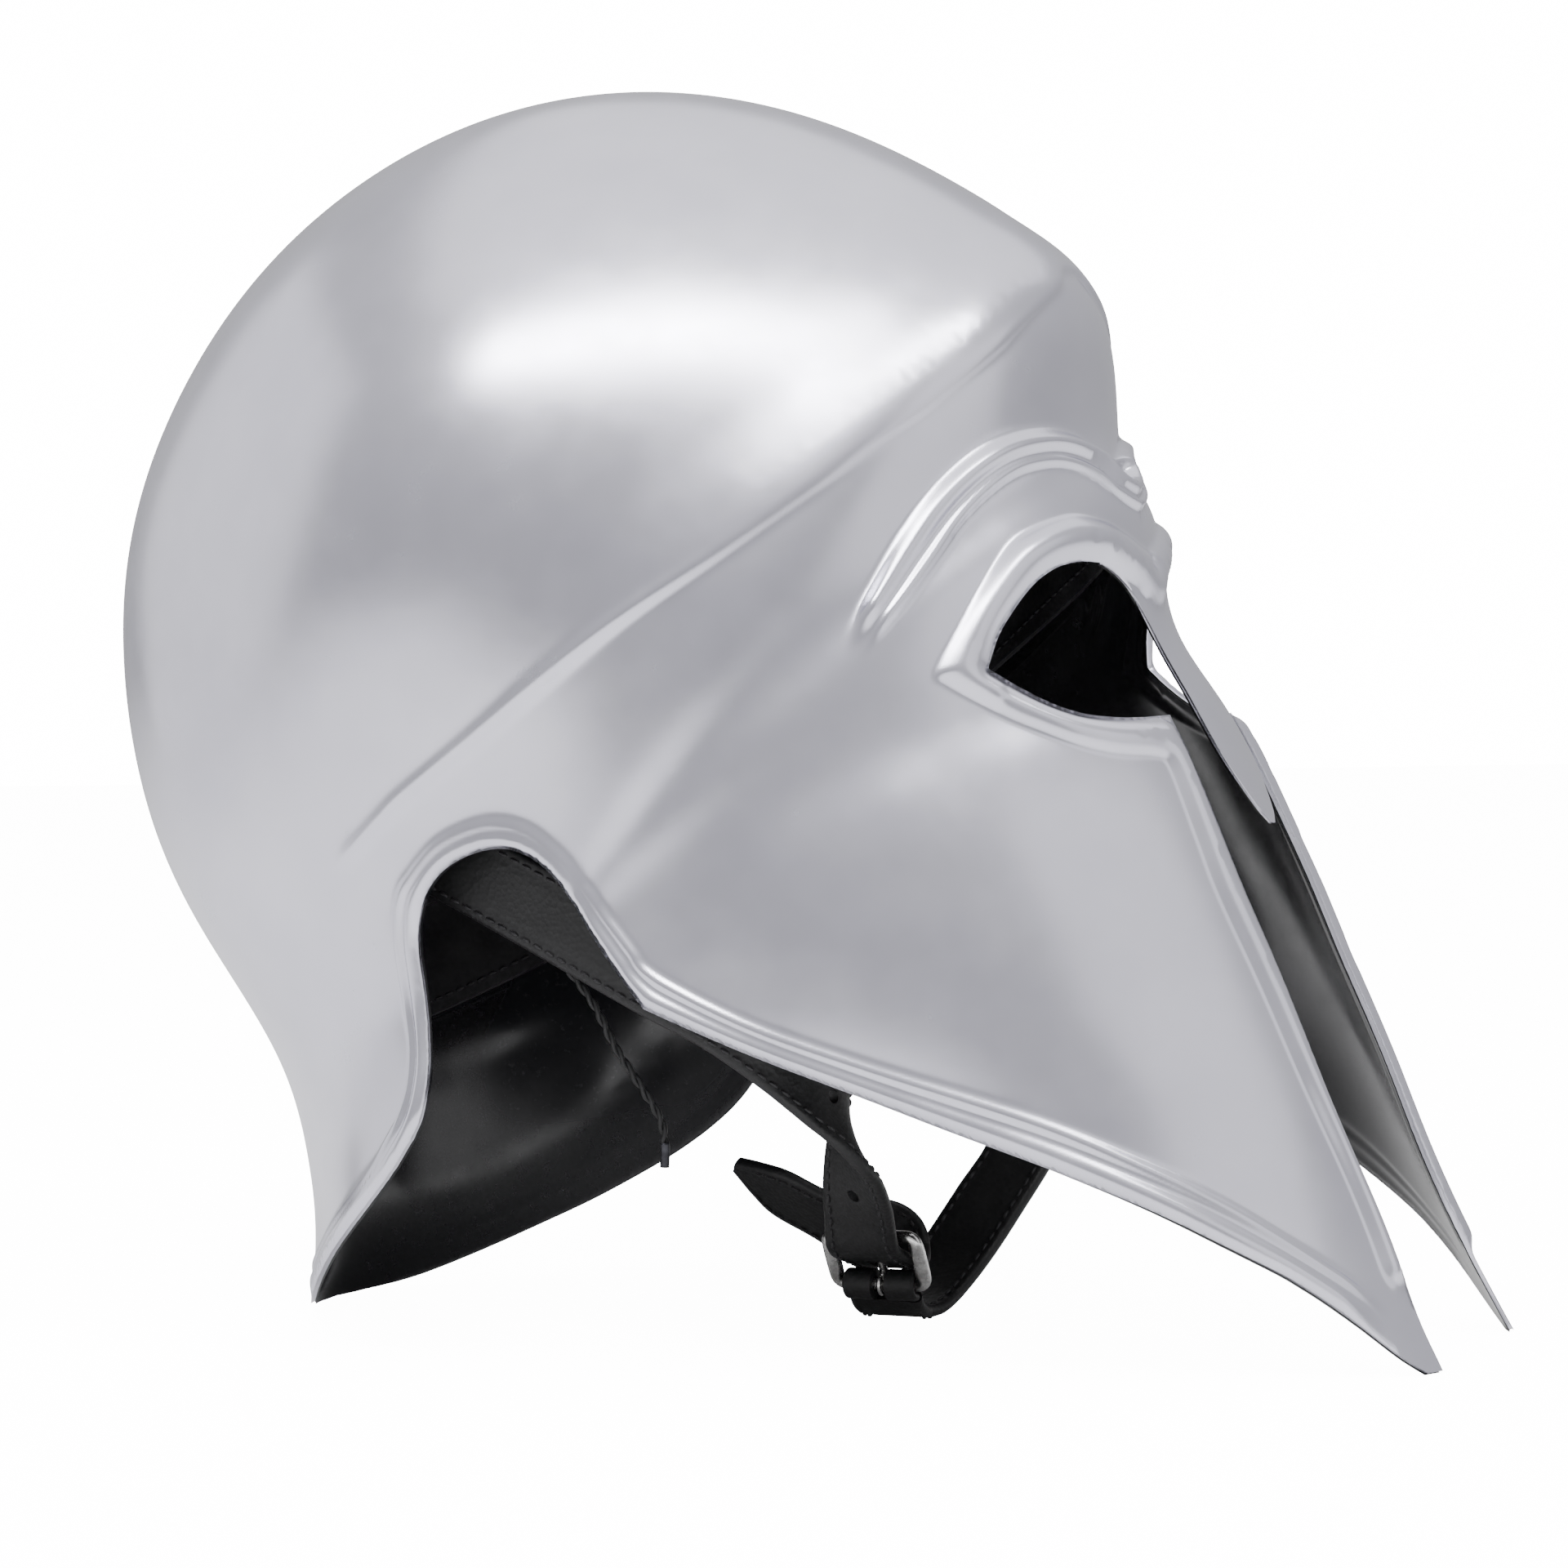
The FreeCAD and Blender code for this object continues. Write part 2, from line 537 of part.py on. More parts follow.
def catmull_rom(rows, t):
    """value at station number t of a Catmull-Rom curve through tuples"""
    last = len(rows) - 1
    i = min(int(t), last - 1)
    f = t - i
    near = (rows[max(i - 1, 0)], rows[i], rows[i + 1], rows[min(i + 2, last)])
    return [0.5 * (2 * b + (c - a) * f + (2 * a - 5 * b + 4 * c - d) * f * f
                   + (3 * b - a - 3 * c + d) * f ** 3) for a, b, c, d in zip(*near)]


def ribbon(stations, widths, samples):
    """leather strip lofted through thin rectangles, and (centre, face normal) per sample"""
    last = len(stations) - 1
    centres = [tuple(centre) for centre, _direction in stations]
    directions = [direction for _centre, direction in stations]
    width_rows = [(width,) for width in widths]
    wires, frames = [], []
    step = 0.03
    for k in range(samples + 1):
        t = last * k / float(samples)
        before = Vector(*catmull_rom(centres, max(t - step, 0)))
        after = Vector(*catmull_rom(centres, min(t + step, last - 1e-9)))
        tangent = after - before
        tangent.normalize()
        across = Vector(*catmull_rom(directions, t))
        across = across - tangent * across.dot(tangent)
        across.normalize()
        face = tangent.cross(across)
        centre = placed(Vector(*catmull_rom(centres, t)))
        side = across * (catmull_rom(width_rows, t)[0] / 2)
        rise = face * (STRAP_THICKNESS / 2)
        corners = [centre + side + rise, centre - side + rise,
                   centre - side - rise, centre + side - rise]
        wires.append(Part.makePolygon(corners + [corners[0]]))
        frames.append((centre, face))
    return Part.makeLoft(wires, True, False), frames


def slot_prism(outline):
    points = [placed(buckle_point(-SLOT_HALF_WIDTH, along, chinward))
              for along, chinward in outline]
    return polygon_face(points).extrude(X_AXIS * (2 * SLOT_HALF_WIDTH))


def on_pivot(radius, length):
    """cylinder centred on the pivot bar"""
    return Part.makeCylinder(radius, length, PIVOT_PLACED - X_AXIS * (length / 2), X_AXIS)


# hole for the right anchor stud
anchor_hole = Part.makeCylinder(dim("stud_hole_radius"), 12,
                                Vector(ANCHOR_PLACED.x, -SIDE_Y - 6, ANCHOR_PLACED.z), Y_AXIS)


def right_strap():
    strap, frames = ribbon(RIGHT_STATIONS, RIGHT_WIDTHS, 57)
    strap = strap.cut(anchor_hole)
    strap = strap.cut(slot_prism(RIGHT_SLOT))
    for k in ADJUST_HOLE_SAMPLES:
        centre, face = frames[k]
        strap = strap.cut(Part.makeCylinder(ADJUST_HOLE_RADIUS, 10, centre - face * 5, face))
    return strap.removeSplitter()


def left_strap():
    """strap folded round the pivot bar and slotted for the prong"""
    strap = ribbon(LEFT_STATIONS, LEFT_WIDTHS, 51)[0]
    strap = strap.cut(mirror_y(anchor_hole))
    strap = strap.fuse(on_pivot(FOLD_OUTER, STRAP_NECK))
    strap = strap.cut(on_pivot(FOLD_INNER, STRAP_NECK + 4))
    return strap.cut(slot_prism(LEFT_SLOT)).removeSplitter()


add_feature("chin_strap_right", right_strap())
add_feature("chin_strap_left", left_strap())


# ---------------------------------------------------------------- document objects
def aim(solid, base, axis):
    solid.Placement = FreeCAD.Placement(base, FreeCAD.Rotation(Vector(0, 0, 1), axis))


def cylinder(name, radius, height, base, axis):
    """cylinder with a bound radius; the height is an expression or a number"""
    solid = doc.addObject("Part::Cylinder", name)
    if isinstance(height, str):
        solid.setExpression("Height", height)
    else:
        solid.Height = height
    solid.setExpression("Radius", radius)
    aim(solid, base, axis)
    return solid


def ball(name, radius, centre):
    solid = doc.addObject("Part::Sphere", name)
    solid.setExpression("Radius", radius)
    solid.Placement = FreeCAD.Placement(centre, FreeCAD.Rotation())
    return solid


def boolean(kind, name, base, tool):
    result = doc.addObject(kind, name)
    result.Base, result.Tool = base, tool
    return result


def add_group(label, pieces):
    """one part from its pieces, as a compound if there are several"""
    group = pieces[0]
    if len(pieces) > 1:
        group = doc.addObject("Part::Compound", label)
        group.Links = pieces
    group.Label = label
    parts.append(group)


def washer(label, k, base, axis, radius, hole_radius, thickness):
    disc = cylinder("%s_disc%d" % (label, k), radius, thickness, base, axis)
    hole = cylinder("%s_hole%d" % (label, k), hole_radius, 6.0, base - axis * 2, axis)
    return boolean("Part::Cut", "%s_ring%d" % (label, k), disc, hole)


def stud(label, k, base, axis, radius, length, head_radius, head_height, wall):
    """stud trimmed by its shell wall, so the foot takes the curve of the inner face"""
    shank = cylinder("%s_shank%d" % (label, k), radius, length, base, axis)
    head = doc.addObject("Part::Cone", "%s_head%d" % (label, k))
    head.Radius1, head.Radius2, head.Height = head_radius, head_radius * 0.55, head_height
    aim(head, base + axis * length, axis)
    whole = boolean("Part::Fuse", "%s_stud%d" % (label, k), shank, head)
    return boolean("Part::Cut", "%s_trim%d" % (label, k), whole, wall)


def to_side(vector, side):
    return Vector(vector.x, side * vector.y, vector.z)


# ---------------------------------------------------------------- studs and washers
WASHER_THICKNESS = dim("washer_thickness")
SIDES = (("left", 1, left_shell), ("right", -1, right_shell))


def add_strap_studs():
    point, normal = side_place(ANCHOR.x, ANCHOR.z)
    foot = Vector(ANCHOR_PLACED.x, point.y - SHELL_INNER / normal.y + 0.6, ANCHOR_PLACED.z)
    # the washer lies on the inner face of the strap
    seat = Vector(foot.x, SIDE_Y - STRAP_THICKNESS / 2 - 0.25, foot.z)
    length = foot.y - (seat.y - WASHER_THICKNESS - 0.1)
    for name, side, wall in SIDES:
        axis = to_side(INWARD, side)
        label = "strap_stud_" + name
        add_group(label, [stud(label, 0, to_side(foot, side), axis,
                               "Dimensions.stud_radius", length, 3.4, 1.2, wall)])
        label = "strap_washer_" + name
        add_group(label, [washer(label, 0, to_side(seat, side), axis,
                                 "Dimensions.washer_radius", "Dimensions.stud_hole_radius",
                                 "Dimensions.washer_thickness")])


def add_band_studs():
    foot_depth = SHELL_INNER - 0.5
    seat_depth = BAND_INNER + 0.55
    length = BAND_INNER + 0.65 + WASHER_THICKNESS - foot_depth
    studs, washers = [], []
    for x, z in BAND_STUDS:
        point, normal = side_place(x, z)
        foot = placed(point - normal * foot_depth)
        seat = placed(point - normal * seat_depth)
        for _name, side, wall in SIDES:
            axis = to_side(normal * -1, side)
            k = len(studs)
            studs.append(stud("band_studs", k, to_side(foot, side), axis,
                              "Dimensions.band_stud_radius", length, 2.7, 0.9, wall))
            washers.append(washer("band_washers", k, to_side(seat, side), axis,
                                  "Dimensions.band_washer_radius",
                                  "Dimensions.band_stud_radius + 0.1",
                                  "Dimensions.washer_thickness - 0.1"))
    add_group("band_studs", studs)
    add_group("band_washers", washers)


add_strap_studs()
add_band_studs()


# ---------------------------------------------------------------- buckle
def add_buckle_frame():
    """two posts, two bars and ball corners"""
    half_posts = dim("post_spacing") / 2
    pieces = []
    for k, across in enumerate((-half_posts, half_posts)):
        pieces.append(cylinder("buckle_post%d" % k, "Dimensions.post_radius",
                               "Dimensions.bar_spacing",
                               placed(buckle_point(across, -HALF_BARS, 0)), STRAP_AXIS))
    for k, along in enumerate((-HALF_BARS, HALF_BARS)):
        pieces.append(cylinder("buckle_bar%d" % k, "Dimensions.bar_radius",
                               "Dimensions.post_spacing",
                               placed(buckle_point(-half_posts, along, 0)), X_AXIS))
    corners = [(across, along) for along in (-HALF_BARS, HALF_BARS)
               for across in (-half_posts, half_posts)]
    for k, (across, along) in enumerate(corners):
        pieces.append(ball("buckle_corner%d" % k, "Dimensions.post_radius",
                           placed(buckle_point(across, along, 0))))
    frame = doc.addObject("Part::MultiFuse", "buckle_frame")
    frame.Shapes = pieces
    frame.Refine = True
    add_group("buckle_frame", [frame])


def add_prong():
    """eye round the pivot bar, and a rod lying on the chin side of the end bar"""
    tip = placed(buckle_point(0, -HALF_BARS - 1.6, BAR_RADIUS + dim("prong_radius") + 0.7))
    rod_axis = tip - PIVOT_PLACED
    rod_length = rod_axis.Length
    rod_axis.normalize()
    eye_width, bore_length = 2.6, 8.0
    eye = cylinder("prong_eye", "Dimensions.bar_radius + 1.38", eye_width,
                   PIVOT_PLACED - X_AXIS * (eye_width / 2), X_AXIS)
    rod = cylinder("prong_rod", "Dimensions.prong_radius", rod_length, PIVOT_PLACED, rod_axis)
    solid = doc.addObject("Part::MultiFuse", "prong_solid")
    solid.Shapes = [eye, rod, ball("prong_tip", "Dimensions.prong_radius", tip)]
    bore = cylinder("prong_bore", "Dimensions.bar_radius + Dimensions.prong_clear", bore_length,
                    PIVOT_PLACED - X_AXIS * (bore_length / 2), X_AXIS)
    add_group("buckle_prong", [boolean("Part::Cut", "buckle_prong", solid, bore)])


add_buckle_frame()
add_prong()

# ---------------------------------------------------------------- validity and export
doc.recompute()
bad = [o.Label for o in doc.Objects if any(word in o.State for word in ("Invalid", "Error"))]
for part in parts:
    shape = part.Shape
    if shape.isNull() or not shape.isValid() or not shape.Solids:
        bad.append(part.Label)
if bad:
    raise RuntimeError("not valid: " + ", ".join(sorted(set(bad))))
for part in parts:
    part.Shape.exportStep("parts/%s.step" % part.Label)
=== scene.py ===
"""Steel helmet with nose guard, cheek plates, leather liner, chin strap, buckle and lace.

Shapes are in millimetres in the helmet's own frame: +X is the front, +Y the wearer's left, +Z up,
and the helmet is symmetric about y = 0. ORIGIN moves that frame to its place above the floor.
"""

from math import atan2, cos, hypot, pi, radians, sin

import bmesh
import bpy
import numpy as np
from mathutils import Matrix, Vector
from mathutils.geometry import delaunay_2d_cdt


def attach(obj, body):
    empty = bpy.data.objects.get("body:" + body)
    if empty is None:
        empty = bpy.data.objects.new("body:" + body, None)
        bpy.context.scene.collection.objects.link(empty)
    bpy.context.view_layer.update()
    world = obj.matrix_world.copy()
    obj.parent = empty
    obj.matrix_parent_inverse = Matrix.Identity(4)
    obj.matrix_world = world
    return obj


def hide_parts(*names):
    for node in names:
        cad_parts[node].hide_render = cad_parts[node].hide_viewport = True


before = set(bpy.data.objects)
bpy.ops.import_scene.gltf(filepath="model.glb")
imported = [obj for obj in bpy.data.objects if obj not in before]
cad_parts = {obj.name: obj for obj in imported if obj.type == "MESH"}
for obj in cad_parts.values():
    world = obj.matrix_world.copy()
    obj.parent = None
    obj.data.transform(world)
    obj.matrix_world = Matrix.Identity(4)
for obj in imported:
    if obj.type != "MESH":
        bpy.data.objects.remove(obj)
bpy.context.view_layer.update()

ORIGIN = np.array([2.2, 0.0, 130.3])
MM = 0.001
BASE_Z = -130.3  # lower edge of the shell, on the floor

# ------------------------------------------------------------------ form of the shell
# Median outline: radius at each angle (degrees) round the fan centre.
FAN_X, FAN_Z = -28.0, -42.0
FAN_START = -97
MEDIAN_ANGLES = np.array([
    -98, -70, -48, -32, -20, -9, 0, 6, 12, 18, 24, 30, 36, 42, 48, 54, 60, 68, 78, 90, 105, 120,
    135, 150, 165, 180, 195, 210, 225, 242, 262.])
MEDIAN_RADII = np.array([
    157.3, 202.5, 248.2, 263.4, 209.1, 179.9, 166.0, 160.2, 155.6, 152.6, 150.2, 148.7, 152.9,
    161.2, 167.5, 186.7, 195.3, 199.8, 206.0, 211.8, 211.8, 203.1, 188.3, 168.9, 149.1, 124.4,
    111.3, 117.1, 154.1, 235.8, 149.7])
# Half width of the form: a row per x, a column per z.
WIDTH_X = np.array([-140, -80, -20, 40, 100, 160.])
WIDTH_Z = np.array([-135, -75, -15, 45, 105, 165.])
HALF_WIDTHS = np.array([
    [46.4, 66.5, 89.7, 104.4, 122.2, 137.0],
    [82.2, 89.0, 90.9, 106.7, 118.5, 128.8],
    [98.8, 96.9, 91.4, 104.5, 112.5, 119.3],
    [97.9, 94.7, 97.8, 95.7, 98.8, 108.1],
    [98.7, 97.9, 99.4, 94.0, 92.5, 98.8],
    [102.2, 98.3, 96.5, 92.8, 90.6, 91.2]])
cheb = np.polynomial.chebyshev


def natural_spline(knots, values):
    count = len(knots)
    gap = np.diff(knots)
    matrix = np.zeros((count, count))
    target = np.zeros(count)
    matrix[0, 0] = matrix[-1, -1] = 1
    for i in range(1, count - 1):
        matrix[i, i - 1] = gap[i - 1]
        matrix[i, i] = 2 * (gap[i - 1] + gap[i])
        matrix[i, i + 1] = gap[i]
        target[i] = 6 * ((values[i + 1] - values[i]) / gap[i]
                         - (values[i] - values[i - 1]) / gap[i - 1])
    bend = np.linalg.solve(matrix, target)

    def evaluate(x):
        x = np.asarray(x, float)
        i = np.clip(np.searchsorted(knots, x) - 1, 0, count - 2)
        span = gap[i]
        after = knots[i + 1] - x
        before = x - knots[i]
        return (bend[i] * after**3 / (6 * span) + bend[i + 1] * before**3 / (6 * span)
                + (values[i] / span - bend[i] * span / 6) * after
                + (values[i + 1] / span - bend[i + 1] * span / 6) * before)
    return evaluate


median_radius = natural_spline(MEDIAN_ANGLES, MEDIAN_RADII)


def cheb_range(value, centre, half):
    return np.clip((np.asarray(value, float) - centre) / half, -1.05, 1.05)


def cheb_x(x):
    return cheb_range(x, centre=15, half=170)


def cheb_z(z):
    return cheb_range(z, centre=17, half=160)


WIDTH_COEFFS = np.linalg.solve(
    cheb.chebvander(cheb_x(WIDTH_X), 5),
    np.linalg.solve(cheb.chebvander(cheb_z(WIDTH_Z), 5), HALF_WIDTHS.T).T)


def half_width(x, z):
    return cheb.chebval2d(cheb_x(x), cheb_z(z), WIDTH_COEFFS)


def fan_angle(x, z):
    angle = np.degrees(np.arctan2(z, x))
    return np.where(angle < FAN_START, angle + 360, angle)


def fan(x, z):
    """Share of the way from the fan centre to the median outline, and the angle."""
    angle = fan_angle(x - FAN_X, z - FAN_Z)
    return np.hypot(x - FAN_X, z - FAN_Z) / median_radius(angle), angle


def form_value(points):
    """Negative inside the form, positive outside."""
    share, _ = fan(points[..., 0], points[..., 2])
    return (points[..., 1] / half_width(points[..., 0], points[..., 2]))**2 + share**2 - 1


def form_normal(points):
    slope = np.stack([form_value(points + step) - form_value(points - step)
                      for step in np.eye(3) * 0.25], -1)
    return slope / np.maximum(np.linalg.norm(slope, axis=-1, keepdims=True), 1e-12)


def disc_to_form(disc):
    """Disc point (radius 1 is the median) to a point of the +Y half."""
    angle = fan_angle(disc[:, 0], disc[:, 1])
    tilt = np.radians(np.clip(np.hypot(disc[:, 0], disc[:, 1]), 0, 1) * 90)
    reach = median_radius(angle) * np.sin(tilt)
    x = FAN_X + reach * np.cos(np.radians(angle))
    z = FAN_Z + reach * np.sin(np.radians(angle))
    return np.stack([x, half_width(x, z) * np.cos(tilt), z], -1)


def side_to_disc(points):
    """Side view (x, z) to disc."""
    points = np.asarray(points, float)
    share, angle = fan(points[:, 0], points[:, 1])
    reach = np.degrees(np.arcsin(np.clip(share, 0, 1))) / 90
    angle = np.radians(angle)
    return np.stack([reach * np.cos(angle), reach * np.sin(angle)], -1)


def bisect(low, high, is_low, steps):
    """Halve the bracket: low moves up wherever is_low(middle) holds."""
    for _ in range(steps):
        middle = (low + high) / 2
        below = is_low(middle)
        low = np.where(below, middle, low)
        high = np.where(below, high, middle)
    return low, high


def front_x(y, z):
    """x at which the front of the form is reached."""
    return bisect(np.full(len(y), 40.0), np.full(len(y), 200.0),
                  lambda x: form_value(np.stack([x, y, z], -1)) <= 0, 50)[0]


def median_x(z):
    return float(front_x(np.array([0.0]), np.array([z]))[0])


def catmull(points, count):
    points = np.asarray(points, float)
    padded = np.vstack([2 * points[0] - points[1], points, 2 * points[-1] - points[-2]])
    curve = []
    for t in np.linspace(0, len(points) - 1, count):
        i = min(int(t), len(points) - 2)
        f = t - i
        a, b, c, d = padded[i:i + 4]
        curve.append(0.5 * (2 * b + (c - a) * f + (2 * a - 5 * b + 4 * c - d) * f * f
                            + (3 * b - a - 3 * c + d) * f**3))
    return np.array(curve)


def path_length(points):
    return np.r_[0, np.cumsum(np.linalg.norm(np.diff(points, axis=0), axis=1))]


def resample(points, step):
    points = np.asarray(points, float)
    length = path_length(points)
    stops = np.linspace(0, length[-1], max(int(round(length[-1] / step)), 1) + 1)
    return np.stack([np.interp(stops, length, points[:, k]) for k in range(points.shape[1])], -1)


# ------------------------------------------------------------------ outline of one half
# Side view (x, z).
EYE_TOP = [(76.1, 27.0), (77.3, 33.7), (79.8, 40.2), (82.6, 45.6), (85.7, 49.1), (88.9, 50.4),
           (91.8, 50.2)]
EYE_LOW = [(107.4, 15.1), (103.4, 14.7), (98.6, 15.0), (93.2, 16.2), (87.4, 18.8), (81.3, 22.6),
           (77.2, 25.6)]
EYE_CORNER = [EYE_TOP[0], (76.2, 26.3), EYE_LOW[-1]]
CHEEK_FRONT = [(107.4, 15.1), (112.6, 5), (120.5, -13), (130.9, -37.5), (141, -62),
               (149.5, -83.5), (157.2, -101.5), (164.8, -118.8), (170.6, BASE_Z)]
CHEEK_LOW = [(168.4, BASE_Z), (163.9, -126.4), (155.5, -118.2), (146.5, -110.4), (137.3, -104),
             (118.5, -93.2), (98.6, -84), (75.6, -74.6), (55.2, -66.2), (32.8, -57.6),
             (7.2, -47.4)]
# Arched side notch, then the lower edge running back to the base.
NOTCH = [(7.2, -47.4), (0.8, -39.8), (-6, -30.8), (-12.6, -20.8), (-19.5, -14.4), (-27, -11.7),
         (-34.5, -12.3), (-42.2, -15.2), (-48, -19.8), (-51.4, -26), (-52.4, -33.5),
         (-51.4, -43.5), (-50, -54.5), (-49, -64), (-50, -73.5), (-54.2, -81.3), (-60.2, -88.6),
         (-67.3, -95.2), (-75.2, -101.4), (-84, -107.4), (-92, -112.5), (-100, -117),
         (-112, -123.4), (-123, -128.3), (-132, BASE_Z)]
# Nose guard: half width, z.
NASAL = [(22, 50.2), (16, 47), (11.6, 43.2), (9.2, 38.5), (8.2, 33), (8.6, 27), (9.6, 21),
         (10.5, 15), (10.6, 9), (9.6, 3.5), (7.4, -2), (4.2, -7.4), (0.9, -10.4)]
EDGE_STEP = 0.9
MIN_OUTLINE_GAP = 0.0012  # disc units


def half_outline():
    """Closed outline on the disc, and which of its points lie on an open edge."""
    nasal = catmull(NASAL, 120)
    nasal = np.stack([front_x(nasal[:, 0], nasal[:, 1]), nasal[:, 1]], -1)
    tip_z = NASAL[-1][1]
    tip_angle = np.degrees(atan2(tip_z - FAN_Z, median_x(tip_z) - FAN_X))
    back_angle = float(bisect(
        200.0, 250.0,
        lambda a: FAN_Z + float(median_radius(a)) * sin(radians(a)) > BASE_Z, 50)[0])
    back_x = FAN_X + float(median_radius(back_angle)) * cos(radians(back_angle))
    arc = np.radians(np.linspace(back_angle, tip_angle, 760))

    def line(points, step=EDGE_STEP):
        return side_to_disc(resample(points, step))

    parts = [  # the median first, then the edges in order
        np.stack([np.cos(arc), np.sin(arc)], -1),
        side_to_disc(nasal[::-1]),
        line([nasal[0], EYE_TOP[-1]]),
        line(catmull(EYE_TOP[::-1], 140)),
        line(catmull(EYE_CORNER, 8), 0.5),
        line(catmull(EYE_LOW[::-1], 140)),
        line(catmull(CHEEK_FRONT, 300)),
        line([CHEEK_FRONT[-1], CHEEK_LOW[0]], 0.5),
        line(catmull(CHEEK_LOW, 300)),
        line(catmull(NOTCH, 400)),
        line([NOTCH[-1], (back_x, BASE_Z)])]

    def apart(a, b):
        return hypot(a[0] - b[0], a[1] - b[1])

    points, on_edge = [], []
    for number, part in enumerate(parts):
        for point in part:
            if not points or apart(point, points[-1]) > MIN_OUTLINE_GAP:
                points.append((float(point[0]), float(point[1])))
                on_edge.append(number > 0)
    if apart(points[0], points[-1]) < MIN_OUTLINE_GAP:
        points.pop()
        on_edge.pop()
    return np.array(points), np.array(on_edge)


outline, outline_on_edge = half_outline()
edge_line = outline[outline_on_edge]

# ------------------------------------------------------------------ relief lines
# name: (point on the positive side, stations), all in side view (x, z).
# Lines that cross the median are continued to it.
RELIEF = {
    "crease": ((0.0, 100.0), [
        (median_x(119.5), 119.5), (78.6, 113.2), (74.9, 102.3), (70.9, 95.6), (65.0, 88.2),
        (60.2, 83.0), (52.1, 76.1), (42.6, 67.4), (24.3, 53.1), (0.1, 37.0), (-30.5, 15.0),
        (-53.9, -0.2), (-60.9, -5.6), (-75.9, -17.2)]),
    "brow": ((80.0, 60.0), [
        (47.6, 30.2), (49.6, 35.4), (52.5, 44.0), (56.5, 54.6), (61.8, 65.0), (66.8, 72.3),
        (71.5, 77.4), (75.9, 80.3), (79.9, 81.3), (82.7, 80.2), (85.0, 77.5), (86.8, 74.8),
        (87.8, 72.7), (median_x(70.0), 70.0)]),
    "brow_low": ((72.0, 78.0), [
        (52.6, 28.2), (54.8, 32.1), (60.9, 42.5), (64.8, 50.2), (68.3, 58.6), (71.9, 64.9),
        (76.4, 70.4), (80.8, 72.4), (84.2, 71.9), (87.6, 69.5), (90.5, 66.4), (92.7, 63.3),
        (median_x(60.5), 60.5)]),
    "eye": ((88.0, 49.0), [
        (66.5, 25.1), (67.7, 29.1), (70.6, 36.6), (73.8, 45.0), (77.8, 54.2), (81.4, 58.1),
        (85.0, 60.5), (87.6, 61.1), (91.0, 59.9), (93.4, 57.2), (94.8, 53.8),
        (median_x(51.0), 51.0)]),
    "cheek": ((98.0, 12.0), [
        (66.5, 25.1), (72.7, 20.6), (80.8, 15.4), (87.5, 12.1), (94.6, 8.8), (101.3, 6.6),
        (107.6, 5.6), (110.2, 3.0), (116.9, -12.9), (122.1, -25.6), (135.4, -55.9),
        (147.0, -83.0), (159.8, -113.2)]),
    "hem": ((-50.0, -45.0), [
        (-124.0, -121.4), (-108.0, -113.2), (-92.0, -104.4), (-76.0, -93.6), (-66.0, -85.0),
        (-60.8, -78.2), (-56.4, -70.2), (-55.9, -58.6), (-58.1, -47.1), (-59.8, -32.7),
        (-58.5, -22.5), (-53.9, -16.6), (-46.2, -9.8), (-35.9, -5.7), (-28.2, -5.1),
        (-20.7, -7.1), (-13.4, -12.5), (-8.2, -18.2), (-1.1, -27.2), (5.3, -34.5),
        (9.6, -39.2), (31.6, -49.9), (56.3, -58.8), (92.3, -71.2), (114.4, -81.7),
        (132.0, -92.0), (150.0, -106.5), (160.5, -116.5)]),
}
disc_lines = {name: side_to_disc(resample(catmull(stations, 260), 0.8))
              for name, (_, stations) in RELIEF.items()}
form_lines = {name: disc_to_form(line) for name, line in disc_lines.items()}

# ------------------------------------------------------------------ triangulation of the half
# Sizes in disc units.
LATTICE_STEP = 0.0027
LATTICE_CELL = 0.0135  # the lattice reaches about this far from lines and edges
COARSE_CELL = 0.0045   # coarse points this close to the lattice are left out
RIM_LIMIT = 0.9965
OUTLINE_CLEARANCE = 0.0022


def inside(points, polygon):
    x, y = points[:, 0], points[:, 1]
    result = np.zeros(len(points), bool)
    for (x0, y0), (x1, y1) in zip(polygon, np.roll(polygon, -1, 0)):
        if y0 == y1:
            continue
        result ^= ((y0 > y) != (y1 > y)) & (x < (x1 - x0) * (y - y0) / (y1 - y0) + x0)
    return result


def line_distance(points, line, closed=False, chunk=3000):
    """Distance to a polyline, the nearest segment, and the share of the way along the line."""
    start = np.asarray(line, float)
    end = np.roll(start, -1, 0) if closed else start[1:]
    start = start if closed else start[:-1]
    span = end - start
    span_sq = np.maximum((span**2).sum(-1), 1e-12)
    distance = np.empty(len(points))
    segment = np.empty(len(points), int)
    along = np.empty(len(points))
    for first in range(0, len(points), chunk):
        part = slice(first, first + chunk)
        offset = points[part, None] - start[None]
        t = np.clip((offset * span).sum(-1) / span_sq, 0, 1)
        gap_sq = ((offset - t[..., None] * span)**2).sum(-1)
        nearest = gap_sq.argmin(1)
        row = np.arange(len(nearest))
        distance[part] = np.sqrt(gap_sq[row, nearest])
        segment[part] = nearest
        along[part] = (nearest + t[row, nearest]) / len(start)
    return distance, segment, along


def near_cells(points, seeds, size):
    """True where a point's grid cell is, or touches, one that holds a seed."""
    stride = np.array([100003, 1])
    filled = np.unique(np.floor(seeds / size).astype(np.int64) @ stride)
    keys = np.floor(points / size).astype(np.int64) @ stride
    near = np.zeros(len(points), bool)
    for dx in (-1, 0, 1):
        for dy in (-1, 0, 1):
            near |= np.isin(keys + dx * stride[0] + dy, filled)
    return near


def coarse_points():
    rings = []
    for j, tilt in enumerate(np.arange(0.4, 89.6, 0.62)):
        count = max(int(2 * pi * sin(radians(tilt)) * 195 / 2.1), 6)
        a = np.linspace(0, 2 * pi, count, endpoint=False) + (j % 2) * pi / count
        rings.append(np.stack([tilt / 90 * np.cos(a), tilt / 90 * np.sin(a)], -1))
    return np.vstack(rings)


